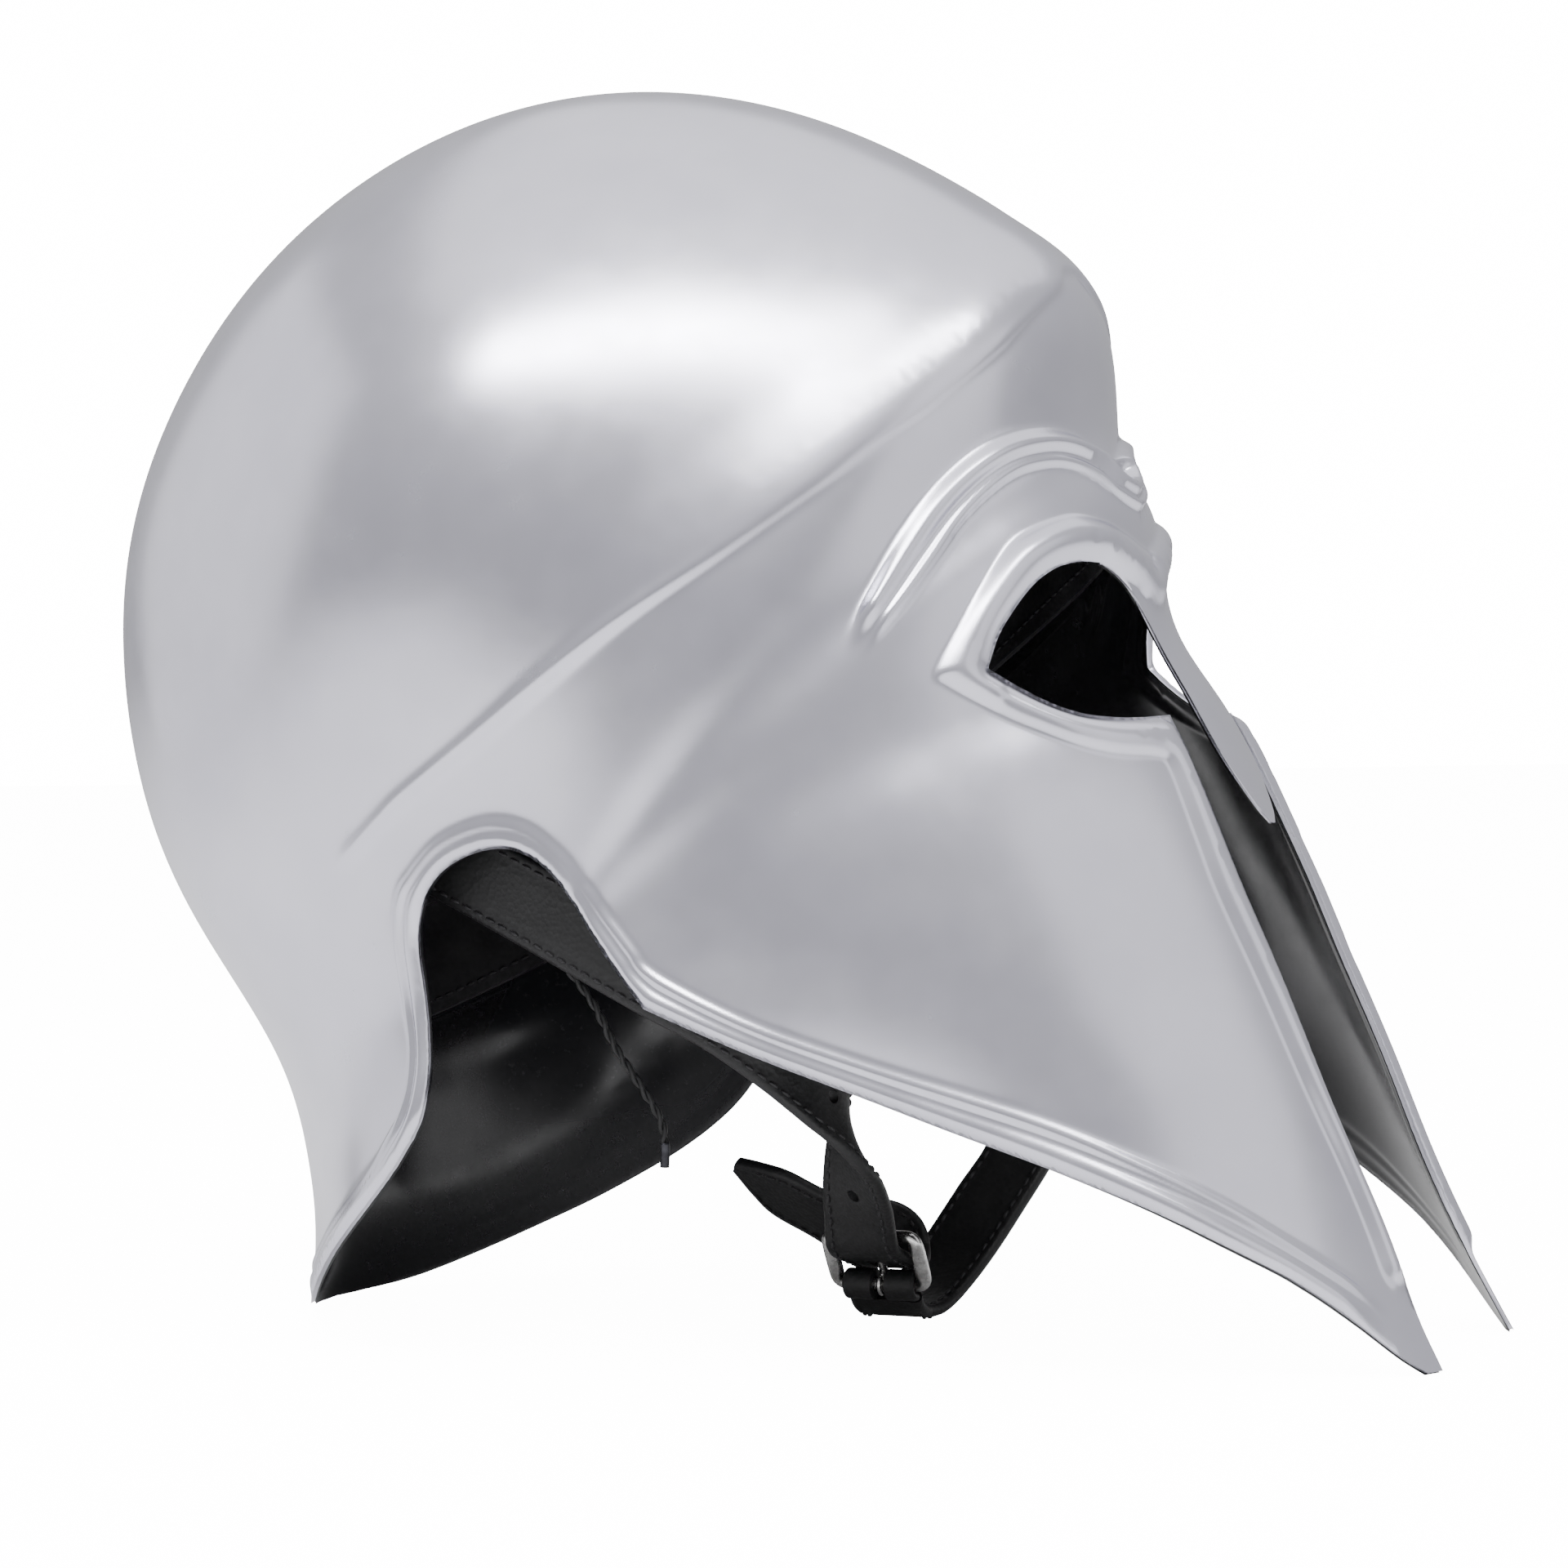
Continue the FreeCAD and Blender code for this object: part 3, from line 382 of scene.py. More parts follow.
def lattice_points():
    """Rows of an even triangular lattice, kept near the relief lines and edges."""
    rows = []
    for k in range(int(2.0 / (LATTICE_STEP * 0.866)) + 1):
        x = np.arange(-1.0 + (k % 2) * LATTICE_STEP / 2, 1.0, LATTICE_STEP)
        rows.append(np.stack([x, np.full(len(x), -1.0 + k * LATTICE_STEP * 0.866)], -1))
    lattice = np.vstack(rows)
    seeds = np.vstack(list(disc_lines.values()) + [edge_line])
    return lattice[near_cells(lattice, seeds, LATTICE_CELL)]


def triangulate():
    """Disc points and counter-clockwise triangles of one half."""
    fine, coarse = lattice_points(), coarse_points()
    points = np.vstack([fine, coarse[~near_cells(coarse, fine, COARSE_CELL)]])
    points = points[np.hypot(points[:, 0], points[:, 1]) < RIM_LIMIT]
    points = points[inside(points, outline)]
    points = points[line_distance(points, outline, closed=True)[0] > OUTLINE_CLEARANCE]
    count = len(outline)
    verts = [Vector((float(x), float(y))) for x, y in np.vstack([outline, points])]
    result = delaunay_2d_cdt(verts, [(i, (i + 1) % count) for i in range(count)], [], 0, 1e-7)
    points = np.array([[v.x, v.y] for v in result[0]])
    faces = np.array([face for face in result[2] if len(face) == 3], int)
    faces = faces[inside(points[faces].mean(1), outline)]
    used = np.unique(faces)
    new_index = -np.ones(len(points), int)
    new_index[used] = np.arange(len(used))
    faces = new_index[faces]
    points = points[used]
    a, b, c = (points[faces[:, k]] for k in range(3))
    clockwise = ((b - a)[:, 0] * (c - a)[:, 1] - (b - a)[:, 1] * (c - a)[:, 0]) < 0
    faces[clockwise] = faces[clockwise][:, ::-1]
    return points, faces


disc, tri = triangulate()
count = len(disc)
on_median = np.hypot(disc[:, 0], disc[:, 1]) > 0.99995
form = disc_to_form(disc)
form[on_median, 1] = 0.0
normal = form_normal(form)
normal[on_median, 1] = 0.0
normal /= np.linalg.norm(normal, axis=1, keepdims=True)
# directed neighbour pairs
pair_to = np.concatenate([tri[:, k] for k in (0, 1, 2, 1, 2, 0)])
pair_from = np.concatenate([tri[:, k] for k in (1, 2, 0, 0, 1, 2)])

# ------------------------------------------------------------------ relief heights
edge_gap = line_distance(form, disc_to_form(edge_line))[0]
OUTSIDE = -9.0  # band share that no bead reaches


def bell(distance, width):
    return np.exp(-(distance / width)**2)


def ease(value, over, start=0.0):
    """Smooth step from 0 at start to 1 at start + over."""
    t = np.clip((value - start) / over, 0, 1)
    return t**2 * (3 - 2 * t)


def fall(value, over, start=0.0):
    return 1 - ease(value, over, start)


def bead(share, centre, half, power=1.2):
    """Rounded bead across a band; centre and half width are shares of the band."""
    return np.clip(1 - ((share - centre) / half)**2, 0, 1)**power


def line_side(line, segment, points):
    run = line[segment + 1] - line[segment]
    offset = points - line[segment]
    return np.sign(run[:, 0] * offset[:, 1] - run[:, 1] * offset[:, 0])


def signed_distance(name):
    """Distance to a relief line, signed as in RELIEF, and the share along it."""
    line = disc_lines[name]
    distance, segment, along = line_distance(form, form_lines[name])
    reference = side_to_disc([RELIEF[name][0]])
    reference_side = line_side(line, line_distance(reference, line)[1], reference)
    return distance * line_side(line, segment, disc) * reference_side, along


def edge_share(distance, cap):
    """Share of the way from a line to the open edge, in a band at most cap wide."""
    gap = np.abs(distance)
    return np.where((distance > 0) & (gap < cap + 1), gap / np.minimum(gap + edge_gap, cap),
                    OUTSIDE)


def neighbour_sum(values):
    return np.bincount(pair_to, weights=values[pair_from], minlength=count)


def crease_relief():
    """Step up above the crease that turns into a narrow bead further back."""
    above, along = signed_distance("crease")
    step = (ease(above, start=-0.9, over=1.8) * fall(above, start=3, over=22.0)
            * fall(along, start=0.90, over=0.10) * 1.15)
    beaded = ease(along, start=0.36, over=0.28) * fall(along, start=0.955, over=0.045)
    groove = 0.30 * bell(above + 1.9, width=1.2) * fall(along, start=0.93, over=0.07)
    return step * (1 - 0.6 * beaded) + beaded * 1.05 * bell(above - 0.6, width=1.5) - groove


def brow_relief():
    """Large and small bead between the two brow lines, with a groove outside."""
    upper, upper_along = signed_distance("brow")
    lower, lower_along = signed_distance("brow_low")
    share = np.where((upper > 0) & (lower > 0), upper / np.maximum(upper + lower, 1e-6), OUTSIDE)
    fade = ease(upper_along, over=0.16) * ease(lower_along, over=0.16)
    beads = 3.1 * bead(share, centre=0.34, half=0.36) + 1.9 * bead(share, centre=0.83, half=0.20)
    return fade * beads - 0.25 * ease(upper_along, over=0.1) * bell(upper + 1.2, width=1.0)


def eye_reliefs():
    """Beads round the eye and down the cheek front, joined at the rear eye corner."""
    eye, _ = signed_distance("eye")
    cheek, along = signed_distance("cheek")
    at_corner = np.linalg.norm(form - form_lines["eye"][0], axis=1) < 16
    joined = np.where(
        (eye > 0) & (cheek > 0), np.minimum(np.abs(eye), np.abs(cheek)),
        -np.maximum(np.abs(np.minimum(eye, 0)), np.abs(np.minimum(cheek, 0))))
    for distance, height in ((eye, 2.7), (cheek, fall(along, start=0.97, over=0.03) * 2.3)):
        share = edge_share(np.where(at_corner, joined, distance), cap=11.5)
        yield height * bead(share, centre=0.48, half=0.48, power=0.95)


def hem_relief():
    """Two beads along the lower edge and notch."""
    distance, along = signed_distance("hem")
    share = edge_share(distance, cap=11.0)
    fade = ease(along, over=0.05) * fall(along, start=0.97, over=0.03)
    return fade * (1.35 * bead(share, centre=0.18, half=0.20)
                   + 1.75 * bead(share, centre=0.69, half=0.34))


height = crease_relief()
height += brow_relief()
for eye_height in eye_reliefs():
    height = np.maximum(height, eye_height)
height += hem_relief()
height *= 1 - 0.45 * bell(edge_gap, width=0.8)
# soften the flanks
neighbours = np.maximum(np.bincount(pair_to, minlength=count), 1)
for _ in range(2):
    height = 0.5 * height + 0.5 * neighbour_sum(height) / neighbours

# ------------------------------------------------------------------ solid shell
WALL = 1.2
INNER_RELIEF = 0.25  # share of the relief seen on the inner face
# Rounded rim: depth as a share of the wall, outward bulge.
RIM_ROWS = ((0.22, 0.42), (0.5, 0.62), (0.78, 0.42))
outer = form + normal * height[:, None]
inner = form - normal * (WALL - height[:, None] * INNER_RELIEF)
outer[on_median, 1] = 0.0
inner[on_median, 1] = 0.0


def half_shell():
    """Vertices, faces and material indices of the +Y half: outer, inner, rim."""
    triangles = tri.tolist()
    directed = dict.fromkeys(e for a, b, c in triangles for e in ((a, b), (b, c), (c, a)))
    rim = [(i, j) for i, j in directed
           if (j, i) not in directed and not (on_median[i] and on_median[j])]
    rim_verts = sorted({i for edge in rim for i in edge})
    place = {v: k for k, v in enumerate(rim_verts)}
    tangent = {}
    for i, j in rim:
        run = outer[j] - outer[i]
        tangent[i] = tangent.get(i, 0) + run
        tangent[j] = tangent.get(j, 0) + run
    rows = []
    for depth, bulge in RIM_ROWS:
        for v in rim_verts:
            out = np.cross(tangent[v], normal[v])
            out /= max(np.linalg.norm(out), 1e-9)
            point = outer[v] * (1 - depth) + inner[v] * depth + out * bulge
            if on_median[v]:
                point[1] = 0.0
            rows.append(point)

    def rim_index(v, layer):
        if layer == 0:
            return v
        if layer > len(RIM_ROWS):
            return count + v
        return 2 * count + (layer - 1) * len(rim_verts) + place[v]

    faces = [tuple(t) for t in triangles]
    faces += [tuple(v + count for v in t[::-1]) for t in triangles]
    slots = [0] * len(triangles) + [1] * len(triangles)
    for i, j in rim:
        for k in range(4):
            faces.append((rim_index(j, k), rim_index(i, k),
                          rim_index(i, k + 1), rim_index(j, k + 1)))
            slots.append(0 if k < 3 else 1)
    return np.vstack([outer, inner, rows]), faces, slots


def add_object(name, data):
    obj = bpy.data.objects.new(name, data)
    bpy.context.scene.collection.objects.link(obj)
    return obj


def add_mesh(name, verts, faces, materials=(), smooth=True):
    data = bpy.data.meshes.new(name)
    verts = [tuple(map(float, v)) for v in (np.asarray(verts) + ORIGIN) * MM]
    data.from_pydata(verts, [], faces)
    for material in materials:
        data.materials.append(material)
    data.polygons.foreach_set("use_smooth", [smooth] * len(data.polygons))
    data.update()
    return add_object(name, data)


# ------------------------------------------------------------------ materials
def base_material(name, base, metal, rough, spec=0.5):
    material = bpy.data.materials.new(name)
    material.use_nodes = True
    shader = material.node_tree.nodes["Principled BSDF"]
    shader.inputs["Base Color"].default_value = (*base, 1)
    shader.inputs["Metallic"].default_value = metal
    shader.inputs["Roughness"].default_value = rough
    shader.inputs["Specular IOR Level"].default_value = spec
    return material, material.node_tree, shader


def noise(tree, scale, detail, rough=0.5):
    coords = tree.nodes.new("ShaderNodeTexCoord")
    mapping = tree.nodes.new("ShaderNodeMapping")
    node = tree.nodes.new("ShaderNodeTexNoise")
    node.inputs["Scale"].default_value = scale
    node.inputs["Detail"].default_value = detail
    node.inputs["Roughness"].default_value = rough
    tree.links.new(coords.outputs["Object"], mapping.inputs["Vector"])
    tree.links.new(mapping.outputs["Vector"], node.inputs["Vector"])
    return node.outputs["Fac"]


def ramp(tree, source, target, stops):
    """Two stops, each a position and a grey or colour, drive the target input."""
    node = tree.nodes.new("ShaderNodeValToRGB")
    tree.links.new(source, node.inputs["Fac"])
    for element, (position, value) in zip(node.color_ramp.elements, stops):
        element.position = position
        element.color = (*np.broadcast_to(value, 3), 1)
    tree.links.new(node.outputs["Color"], target)


def bump(tree, shader, source, strength, distance, under=None):
    node = tree.nodes.new("ShaderNodeBump")
    node.inputs["Strength"].default_value = strength
    node.inputs["Distance"].default_value = distance
    tree.links.new(source, node.inputs["Height"])
    if under:
        tree.links.new(under.outputs["Normal"], node.inputs["Normal"])
    tree.links.new(node.outputs["Normal"], shader.inputs["Normal"])
    return node


def steel_material():
    material, tree, shader = base_material(
        "steel_skin", base=(0.80, 0.80, 0.84), metal=1.0, rough=0.30)
    ramp(tree, noise(tree, scale=28, detail=3, rough=0.55), shader.inputs["Base Color"],
         stops=((0.30, (0.655, 0.648, 0.738)), (0.72, (0.725, 0.717, 0.803))))
    ramp(tree, noise(tree, scale=60, detail=4, rough=0.6), shader.inputs["Roughness"],
         stops=((0.25, 0.21), (0.8, 0.29)))
    bump(tree, shader, noise(tree, scale=42, detail=2), strength=0.05, distance=0.0012)
    return material


def paint_material():
    material, tree, shader = base_material(
        "inner_black_paint", base=(0.012, 0.012, 0.014), metal=0.0, rough=0.2, spec=0.6)
    ramp(tree, noise(tree, scale=420, detail=3, rough=0.7), shader.inputs["Base Color"],
         stops=((0.60, (0.016, 0.016, 0.019)), (0.85, (0.040, 0.039, 0.044))))
    ramp(tree, noise(tree, scale=70, detail=3), shader.inputs["Roughness"],
         stops=((0.3, 0.13), (0.8, 0.24)))
    bump(tree, shader, noise(tree, scale=30, detail=2), strength=0.05, distance=0.0010)
    return material


def leather_material(name, base, rough, grain, lift):
    """lift brightens the light patches; grain is the scale of the fine cells."""
    material, tree, shader = base_material(name, base, metal=0.0, rough=0.5, spec=0.45)
    patches = noise(tree, scale=55, detail=4, rough=0.6)
    ramp(tree, patches, shader.inputs["Base Color"],
         stops=((0.3, base), (0.8, tuple(x + lift for x in base))))
    ramp(tree, patches, shader.inputs["Roughness"], stops=((0.3, rough[0]), (0.8, rough[1])))
    coords = tree.nodes.new("ShaderNodeTexCoord")
    cells = tree.nodes.new("ShaderNodeTexVoronoi")
    cells.inputs["Scale"].default_value = grain
    tree.links.new(coords.outputs["Object"], cells.inputs["Vector"])
    under = bump(tree, shader, cells.outputs["Distance"], strength=0.25, distance=0.0003)
    bump(tree, shader, noise(tree, scale=160, detail=3), strength=0.2, distance=0.0006,
         under=under)
    return material


def metal_material(name, base, rough):
    material, tree, shader = base_material(name, base, metal=1.0, rough=rough[0])
    wear = noise(tree, scale=260, detail=4, rough=0.65)
    ramp(tree, wear, shader.inputs["Base Color"],
         stops=((0.35, tuple(x * 0.62 for x in base)), (0.6, base)))
    ramp(tree, wear, shader.inputs["Roughness"], stops=((0.3, rough[1]), (0.7, rough[0])))
    bump(tree, shader, wear, strength=0.15, distance=0.0002)
    return material


STEEL = steel_material()
PAINT = paint_material()
LINER = leather_material("liner_leather", base=(0.022, 0.021, 0.024), rough=(0.36, 0.6),
                         grain=700, lift=0.02)
STRAP = leather_material("strap_leather", base=(0.007, 0.007, 0.008), rough=(0.42, 0.62),
                         grain=900, lift=0.006)
LACE = leather_material("lace_cord", base=(0.007, 0.007, 0.008), rough=(0.45, 0.65),
                        grain=1200, lift=0.006)
THREAD = leather_material("thread", base=(0.016, 0.016, 0.018), rough=(0.5, 0.7),
                          grain=2600, lift=0.01)
FITTING = metal_material("fitting_steel", base=(0.58, 0.58, 0.60), rough=(0.32, 0.5))
BUCKLE = metal_material("buckle_metal", base=(0.86, 0.855, 0.84), rough=(0.20, 0.36))
TIP = metal_material("lace_tip", base=(0.07, 0.07, 0.08), rough=(0.4, 0.55))


# ------------------------------------------------------------------ shell object
def set_shell_normals(data, mirror):
    """The form's own normals where the surface is plain, averaged ones in the relief."""
    total = len(data.vertices)
    normals = np.zeros(total * 3)
    data.vertex_normals.foreach_get("vector", normals)
    normals = normals.reshape(-1, 3)
    edges = np.zeros(len(data.edges) * 2, np.int32)
    data.edges.foreach_get("vertices", edges)
    edges = edges.reshape(-1, 2)
    ends = np.r_[edges[:, 0], edges[:, 1]]
    others = np.r_[edges[:, 1], edges[:, 0]]
    valence = np.maximum(np.bincount(ends, minlength=total), 1)
    for _ in range(3):
        mean = np.stack([np.bincount(ends, weights=normals[others, k], minlength=total) / valence
                         for k in range(3)], -1)
        normals = 0.45 * normals + 0.55 * mean
        normals /= np.maximum(np.linalg.norm(normals, axis=1, keepdims=True), 1e-9)
    raised = np.abs(height) > 2e-3
    for _ in range(3):
        raised |= neighbour_sum(raised) > 0
    plain = np.where(~raised)[0]
    own = np.full((total, 3), np.nan)
    own[plain] = normal[plain]
    own[count + plain] = -normal[plain]
    twin = mirror[:2 * count]
    source = np.where(twin >= len(mirror))[0]
    own[twin[source]] = own[source] * [1, -1, 1]
    known = ~np.isnan(own[:, 0])
    sign = np.sign((own * normals).sum(1))[known]
    normals[known] = own[known] * np.where(sign == 0, 1, sign)[:, None]
    data.normals_split_custom_set_from_vertices([tuple(map(float, v)) for v in normals])


def add_shell():
    verts, faces, slots = half_shell()
    off_median = np.where(np.abs(verts[:, 1]) >= 1e-9)[0]
    mirror = np.arange(len(verts))
    mirror[off_median] = len(verts) + np.arange(len(off_median))
    other_half = [tuple(int(mirror[i]) for i in face[::-1]) for face in faces]
    shell = add_mesh("shell_skin", np.vstack([verts, verts[off_median] * [1, -1, 1]]),
                     faces + other_half, (STEEL, PAINT))
    shell.data.polygons.foreach_set("material_index", slots + slots)
    shell.data.update()
    set_shell_normals(shell.data, mirror)
    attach(shell, "helmet")
    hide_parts("shell_left_half", "shell_right_half")


add_shell()


# ------------------------------------------------------------------ helpers for the other pieces
def unit(v):
    v = np.asarray(v, float)
    return v / max(np.linalg.norm(v), 1e-12)


def tangents(path, closed=False):
    if closed:
        run = np.roll(path, -1, 0) - np.roll(path, 1, 0)
    else:
        run = np.gradient(path, axis=0)
    return run / np.linalg.norm(run, axis=1, keepdims=True)


def carried_sides(along, up):
    """Side directions carried along a path without spin, and their cross partners."""
    side = unit(np.cross(along[0], up))
    sides = []
    for t in along:
        side = unit(side - t * side.dot(t))
        sides.append(side)
    return np.array(sides), np.cross(along, sides)


def tube(path, radii, seg, closed=False):
    path = np.asarray(path, float)
    count = len(path)
    radii = np.broadcast_to(radii, count)
    along = tangents(path, closed)
    up = (0, 0, 1.0) if abs(along[0][2]) < 0.9 else (1.0, 0, 0)
    sides, cross = carried_sides(along, up)
    verts = []
    for i in range(count):
        for k in range(seg):
            a = 2 * pi * k / seg
            verts.append(path[i] + radii[i] * (cos(a) * sides[i] + sin(a) * cross[i]))
    faces = []
    for i in range(count if closed else count - 1):
        j = (i + 1) % count
        for k in range(seg):
            m = (k + 1) % seg
            faces.append((i * seg + k, i * seg + m, j * seg + m, j * seg + k))
    if not closed:
        faces.append(tuple(range(seg))[::-1])
        faces.append(tuple((count - 1) * seg + k for k in range(seg)))
    return np.array(verts), faces


def merge(parts):
    verts, faces, offset = [], [], 0
    for part_verts, part_faces in parts:
        verts.append(part_verts)
        faces += [tuple(i + offset for i in face) for face in part_faces]
        offset += len(part_verts)
    return np.vstack(verts), faces


def stitches(path, normals, pitch=3.4, length=2.4, radius=0.42, lift=0.08):
    """Short raised thread runs along a line on the leather."""
    distance = path_length(path)

    def at(values, s):
        return np.array([np.interp(s, distance, values[:, k]) for k in range(3)])

    taper = np.array([0.55, 0.95, 1.0, 0.95, 0.55]) * radius
    runs = []
    for start in np.arange(pitch * 0.5, distance[-1] - length, pitch):
        run = []
        for t in np.linspace(0, 1, 5):
            s = start + length * t
            out = lift + radius * 0.35 * sin(pi * t)
            run.append(at(path, s) + unit(at(normals, s)) * out)
        runs.append(tube(run, taper, 6))
    return merge(runs)


def ribbon(path, across, widths, thick):
    """Rounded leather strip; returns its shape and its path, across and face directions."""
    path = np.asarray(path, float)
    along = tangents(path)
    across = across - along * (across * along).sum(1, keepdims=True)
    across /= np.linalg.norm(across, axis=1, keepdims=True)
    face = np.cross(along, across)
    round_off = thick * 0.42
    profile = []  # across share, face share, edge share (0 on the flats)
    for sign in (1, -1):
        profile += [(sign * x, sign * 1.0, 0.0) for x in np.linspace(-1, 1, 17)]
        profile += [(sign, sign * cos(a), sin(a)) for a in np.linspace(0, pi, 7)[1:-1]]
    verts = []
    for i in range(len(path)):
        half, half_thick = widths[i] / 2, thick / 2
        for x, out, edge in profile:
            if edge:
                side = np.sign(x) * (half - round_off + round_off * edge)
                rise = out * half_thick
            else:
                # shallow furrow under the stitching
                furrow = 0.10 * np.exp(-((abs(x) * half - (half - 2.3)) / 0.55)**2)
                side = x * (half - round_off)
                rise = out * half_thick * (1 - furrow)
            verts.append(path[i] + across[i] * side + face[i] * rise)
    n = len(profile)
    faces = [(i * n + k, i * n + (k + 1) % n, (i + 1) * n + (k + 1) % n, (i + 1) * n + k)
             for i in range(len(path) - 1) for k in range(n)]
    faces += [tuple(range(n))[::-1], tuple((len(path) - 1) * n + k for k in range(n))]
    return (np.array(verts), faces), (path, across, face)


def fix_normals(obj):
    bm = bmesh.new()
    bm.from_mesh(obj.data)
    bmesh.ops.recalc_face_normals(bm, faces=bm.faces)
    bm.to_mesh(obj.data)
    bm.free()


def cut(obj, cutters):
    for shape in cutters:
        cutter = add_mesh("cutter", *shape, smooth=False)
        fix_normals(cutter)
        modifier = obj.modifiers.new("cut", "BOOLEAN")
        modifier.operation = "DIFFERENCE"
        modifier.solver = "EXACT"
        modifier.object = cutter
        bpy.context.view_layer.update()
        graph = bpy.context.evaluated_depsgraph_get()
        data = bpy.data.meshes.new_from_object(obj.evaluated_get(graph))
        obj.modifiers.clear()
        obj.data = data
        bpy.data.objects.remove(cutter)
    obj.data.polygons.foreach_set("use_smooth", [True] * len(obj.data.polygons))


def add_piece(name, shape, material, part, replaces=None, fix=True):
    obj = add_mesh(name, *shape, (material,))
    if fix:
        fix_normals(obj)
    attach(obj, part)
    if replaces:
        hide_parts(replaces)
    return obj


def add_leather(name, shape, material, part, replaces=None, cutters=()):
    obj = add_piece(name, shape, material, part, replaces)
    cut(obj, cutters)
    obj.data.set_sharp_from_angle(angle=radians(50))


def add_stitching(name, runs, part):
    add_piece(name, merge(runs), THREAD, part, fix=False)


# ------------------------------------------------------------------ chin strap
ANCHOR_X, ANCHOR_Y = -80, 75.3
STRAP_WIDTH, STRAP_NARROW, STRAP_THICK = 20.0, 18.6, 3.0
# Buckle frame: "across" is +X, "along" runs down the strap, "out" leaves its face.
BUCKLE_CENTRE = np.array([27.0, -12.0, -113.6])
BUCKLE_TILT = radians(62)
BUCKLE_ALONG = np.array([0, cos(BUCKLE_TILT), -sin(BUCKLE_TILT)])
BUCKLE_OUT = np.array([0, sin(BUCKLE_TILT), cos(BUCKLE_TILT)])
BUCKLE_HALF_LENGTH = 7.1
BUCKLE_HALF_WIDTH = 11.3
SLOT_HALF_WIDTH = 1.8


def on_buckle(across, along, out):
    return (BUCKLE_CENTRE + np.array([across, 0, 0]) + BUCKLE_ALONG * along
            + BUCKLE_OUT * out)


PIVOT = on_buckle(0, BUCKLE_HALF_LENGTH, 0)
RIGHT_ACROSS = (0.447, 0.0, 0.894)
LEFT_ACROSS = (-0.447, 0, -0.894)
# Stations: centre, direction across the strap.
RIGHT_STATIONS = [
    ((-90, -ANCHOR_Y, 5.0), RIGHT_ACROSS), ((ANCHOR_X, -ANCHOR_Y, 0.0), RIGHT_ACROSS),
    ((-60, -ANCHOR_Y, -10.0), RIGHT_ACROSS), ((-30, -ANCHOR_Y + 0.3, -25.0), RIGHT_ACROSS),
    ((0, -74.0, -40.5), (0.45, 0.05, 0.89)), ((16, -69, -49.5), (0.43, 0.15, 0.89)),
    ((27, -60, -60.0), (0.33, 0.35, 0.87)), ((33, -50.5, -70.5), (0.05, 0.6, 0.8)),
    ((34.3, -43.5, -79.5), (-0.44, 0.68, 0.58)), ((33.0, -37.0, -87.0), (-0.8, 0.42, 0.42)),
    ((30.5, -30.0, -95.5), (-0.93, 0.25, 0.25)), ((28.3, -24.0, -103.0), (-0.99, 0.1, 0.1)),
    (on_buckle(0.0, -BUCKLE_HALF_LENGTH, -4.8), (-1, 0, 0)),
    (on_buckle(0, -2.0, -1.0), (-1, 0, 0)),
    (on_buckle(0, BUCKLE_HALF_LENGTH - 2.1, 6.2), (-1, 0, 0)),
    ((26.2, 0.0, -114.5), (-0.98, -0.05, -0.15)), ((23.0, 4.2, -111.8), (-0.85, -0.05, -0.5)),
    ((15.5, 5.0, -109.7), (-0.66, 0.34, -0.66)), ((6.0, 4.0, -105.7), (-0.47, 0.62, -0.6)),
    ((-4.0, 1.5, -100.2), (-0.46, 0.66, -0.58)), ((-9.5, 0.5, -96.9), (-0.46, 0.66, -0.58)),
    ((-15.2, 0.0, -93.3), (-0.46, 0.66, -0.58))]
RIGHT_WIDTHS = [STRAP_WIDTH] * 11 + [STRAP_NARROW] * 5 + [STRAP_WIDTH] * 4 + [14.0, 5.0]
LEFT_STATIONS = [
    (PIVOT + BUCKLE_ALONG * 2.9, (1, 0, 0)), ((26.4, -3.6, -125.6), (1, 0, 0)),
    ((25.8, 3.0, -127.8), (1, 0, 0)), ((26.6, 10.0, -127.0), (1, 0, 0)),
    ((28.6, 18.0, -123.0), (1, 0, 0)), ((32.0, 28.5, -114.8), (0.97, -0.15, -0.15)),
    ((36.5, 37.5, -104.5), (0.95, -0.2, -0.2)), ((41.0, 45.5, -94.5), (0.95, -0.24, -0.2)),
    ((42.5, 50.5, -86.0), (0.93, 0.0, -0.3)), ((41.5, 55.0, -77.5), (0.75, 0.45, -0.48)),
    ((37.0, 59.5, -69.0), (0.3, 0.68, -0.66)), ((29.0, 64.0, -60.5), (-0.1, 0.55, -0.83)),
    ((17.5, 69.3, -51.0), (-0.38, 0.25, -0.89)), ((0, 74.0, -40.5), (-0.447, 0.05, -0.894)),
    ((-30, ANCHOR_Y - 0.3, -25.0), LEFT_ACROSS), ((-60, ANCHOR_Y, -10.0), LEFT_ACROSS),
    ((ANCHOR_X, ANCHOR_Y, 0.0), LEFT_ACROSS), ((-90, ANCHOR_Y, 5.0), LEFT_ACROSS)]
LEFT_WIDTHS = [STRAP_NARROW] * 3 + [STRAP_WIDTH] * 15
HOLE_PLACES = (27, 23, 19)  # in steps of 1/57 of the right strap
HOLE_RADIUS = 1.7


def strap_ribbon(stations, widths, count):
    widths = catmull(np.array(widths)[:, None], count)[:, 0]
    shape, frames = ribbon(catmull([s[0] for s in stations], count),
                           catmull([s[1] for s in stations], count), widths, STRAP_THICK)
    return shape, frames, widths


def slot_cutter(profile):
    """Prism through the strap; the profile is (along, out) on the buckle."""
    n = len(profile)
    verts = [on_buckle(side, along, out) for side in (-SLOT_HALF_WIDTH, SLOT_HALF_WIDTH)
             for along, out in profile]
    faces = [tuple(range(n))[::-1], tuple(range(n, 2 * n))]
    faces += [(i, (i + 1) % n, n + (i + 1) % n, n + i) for i in range(n)]
    return np.array(verts), faces


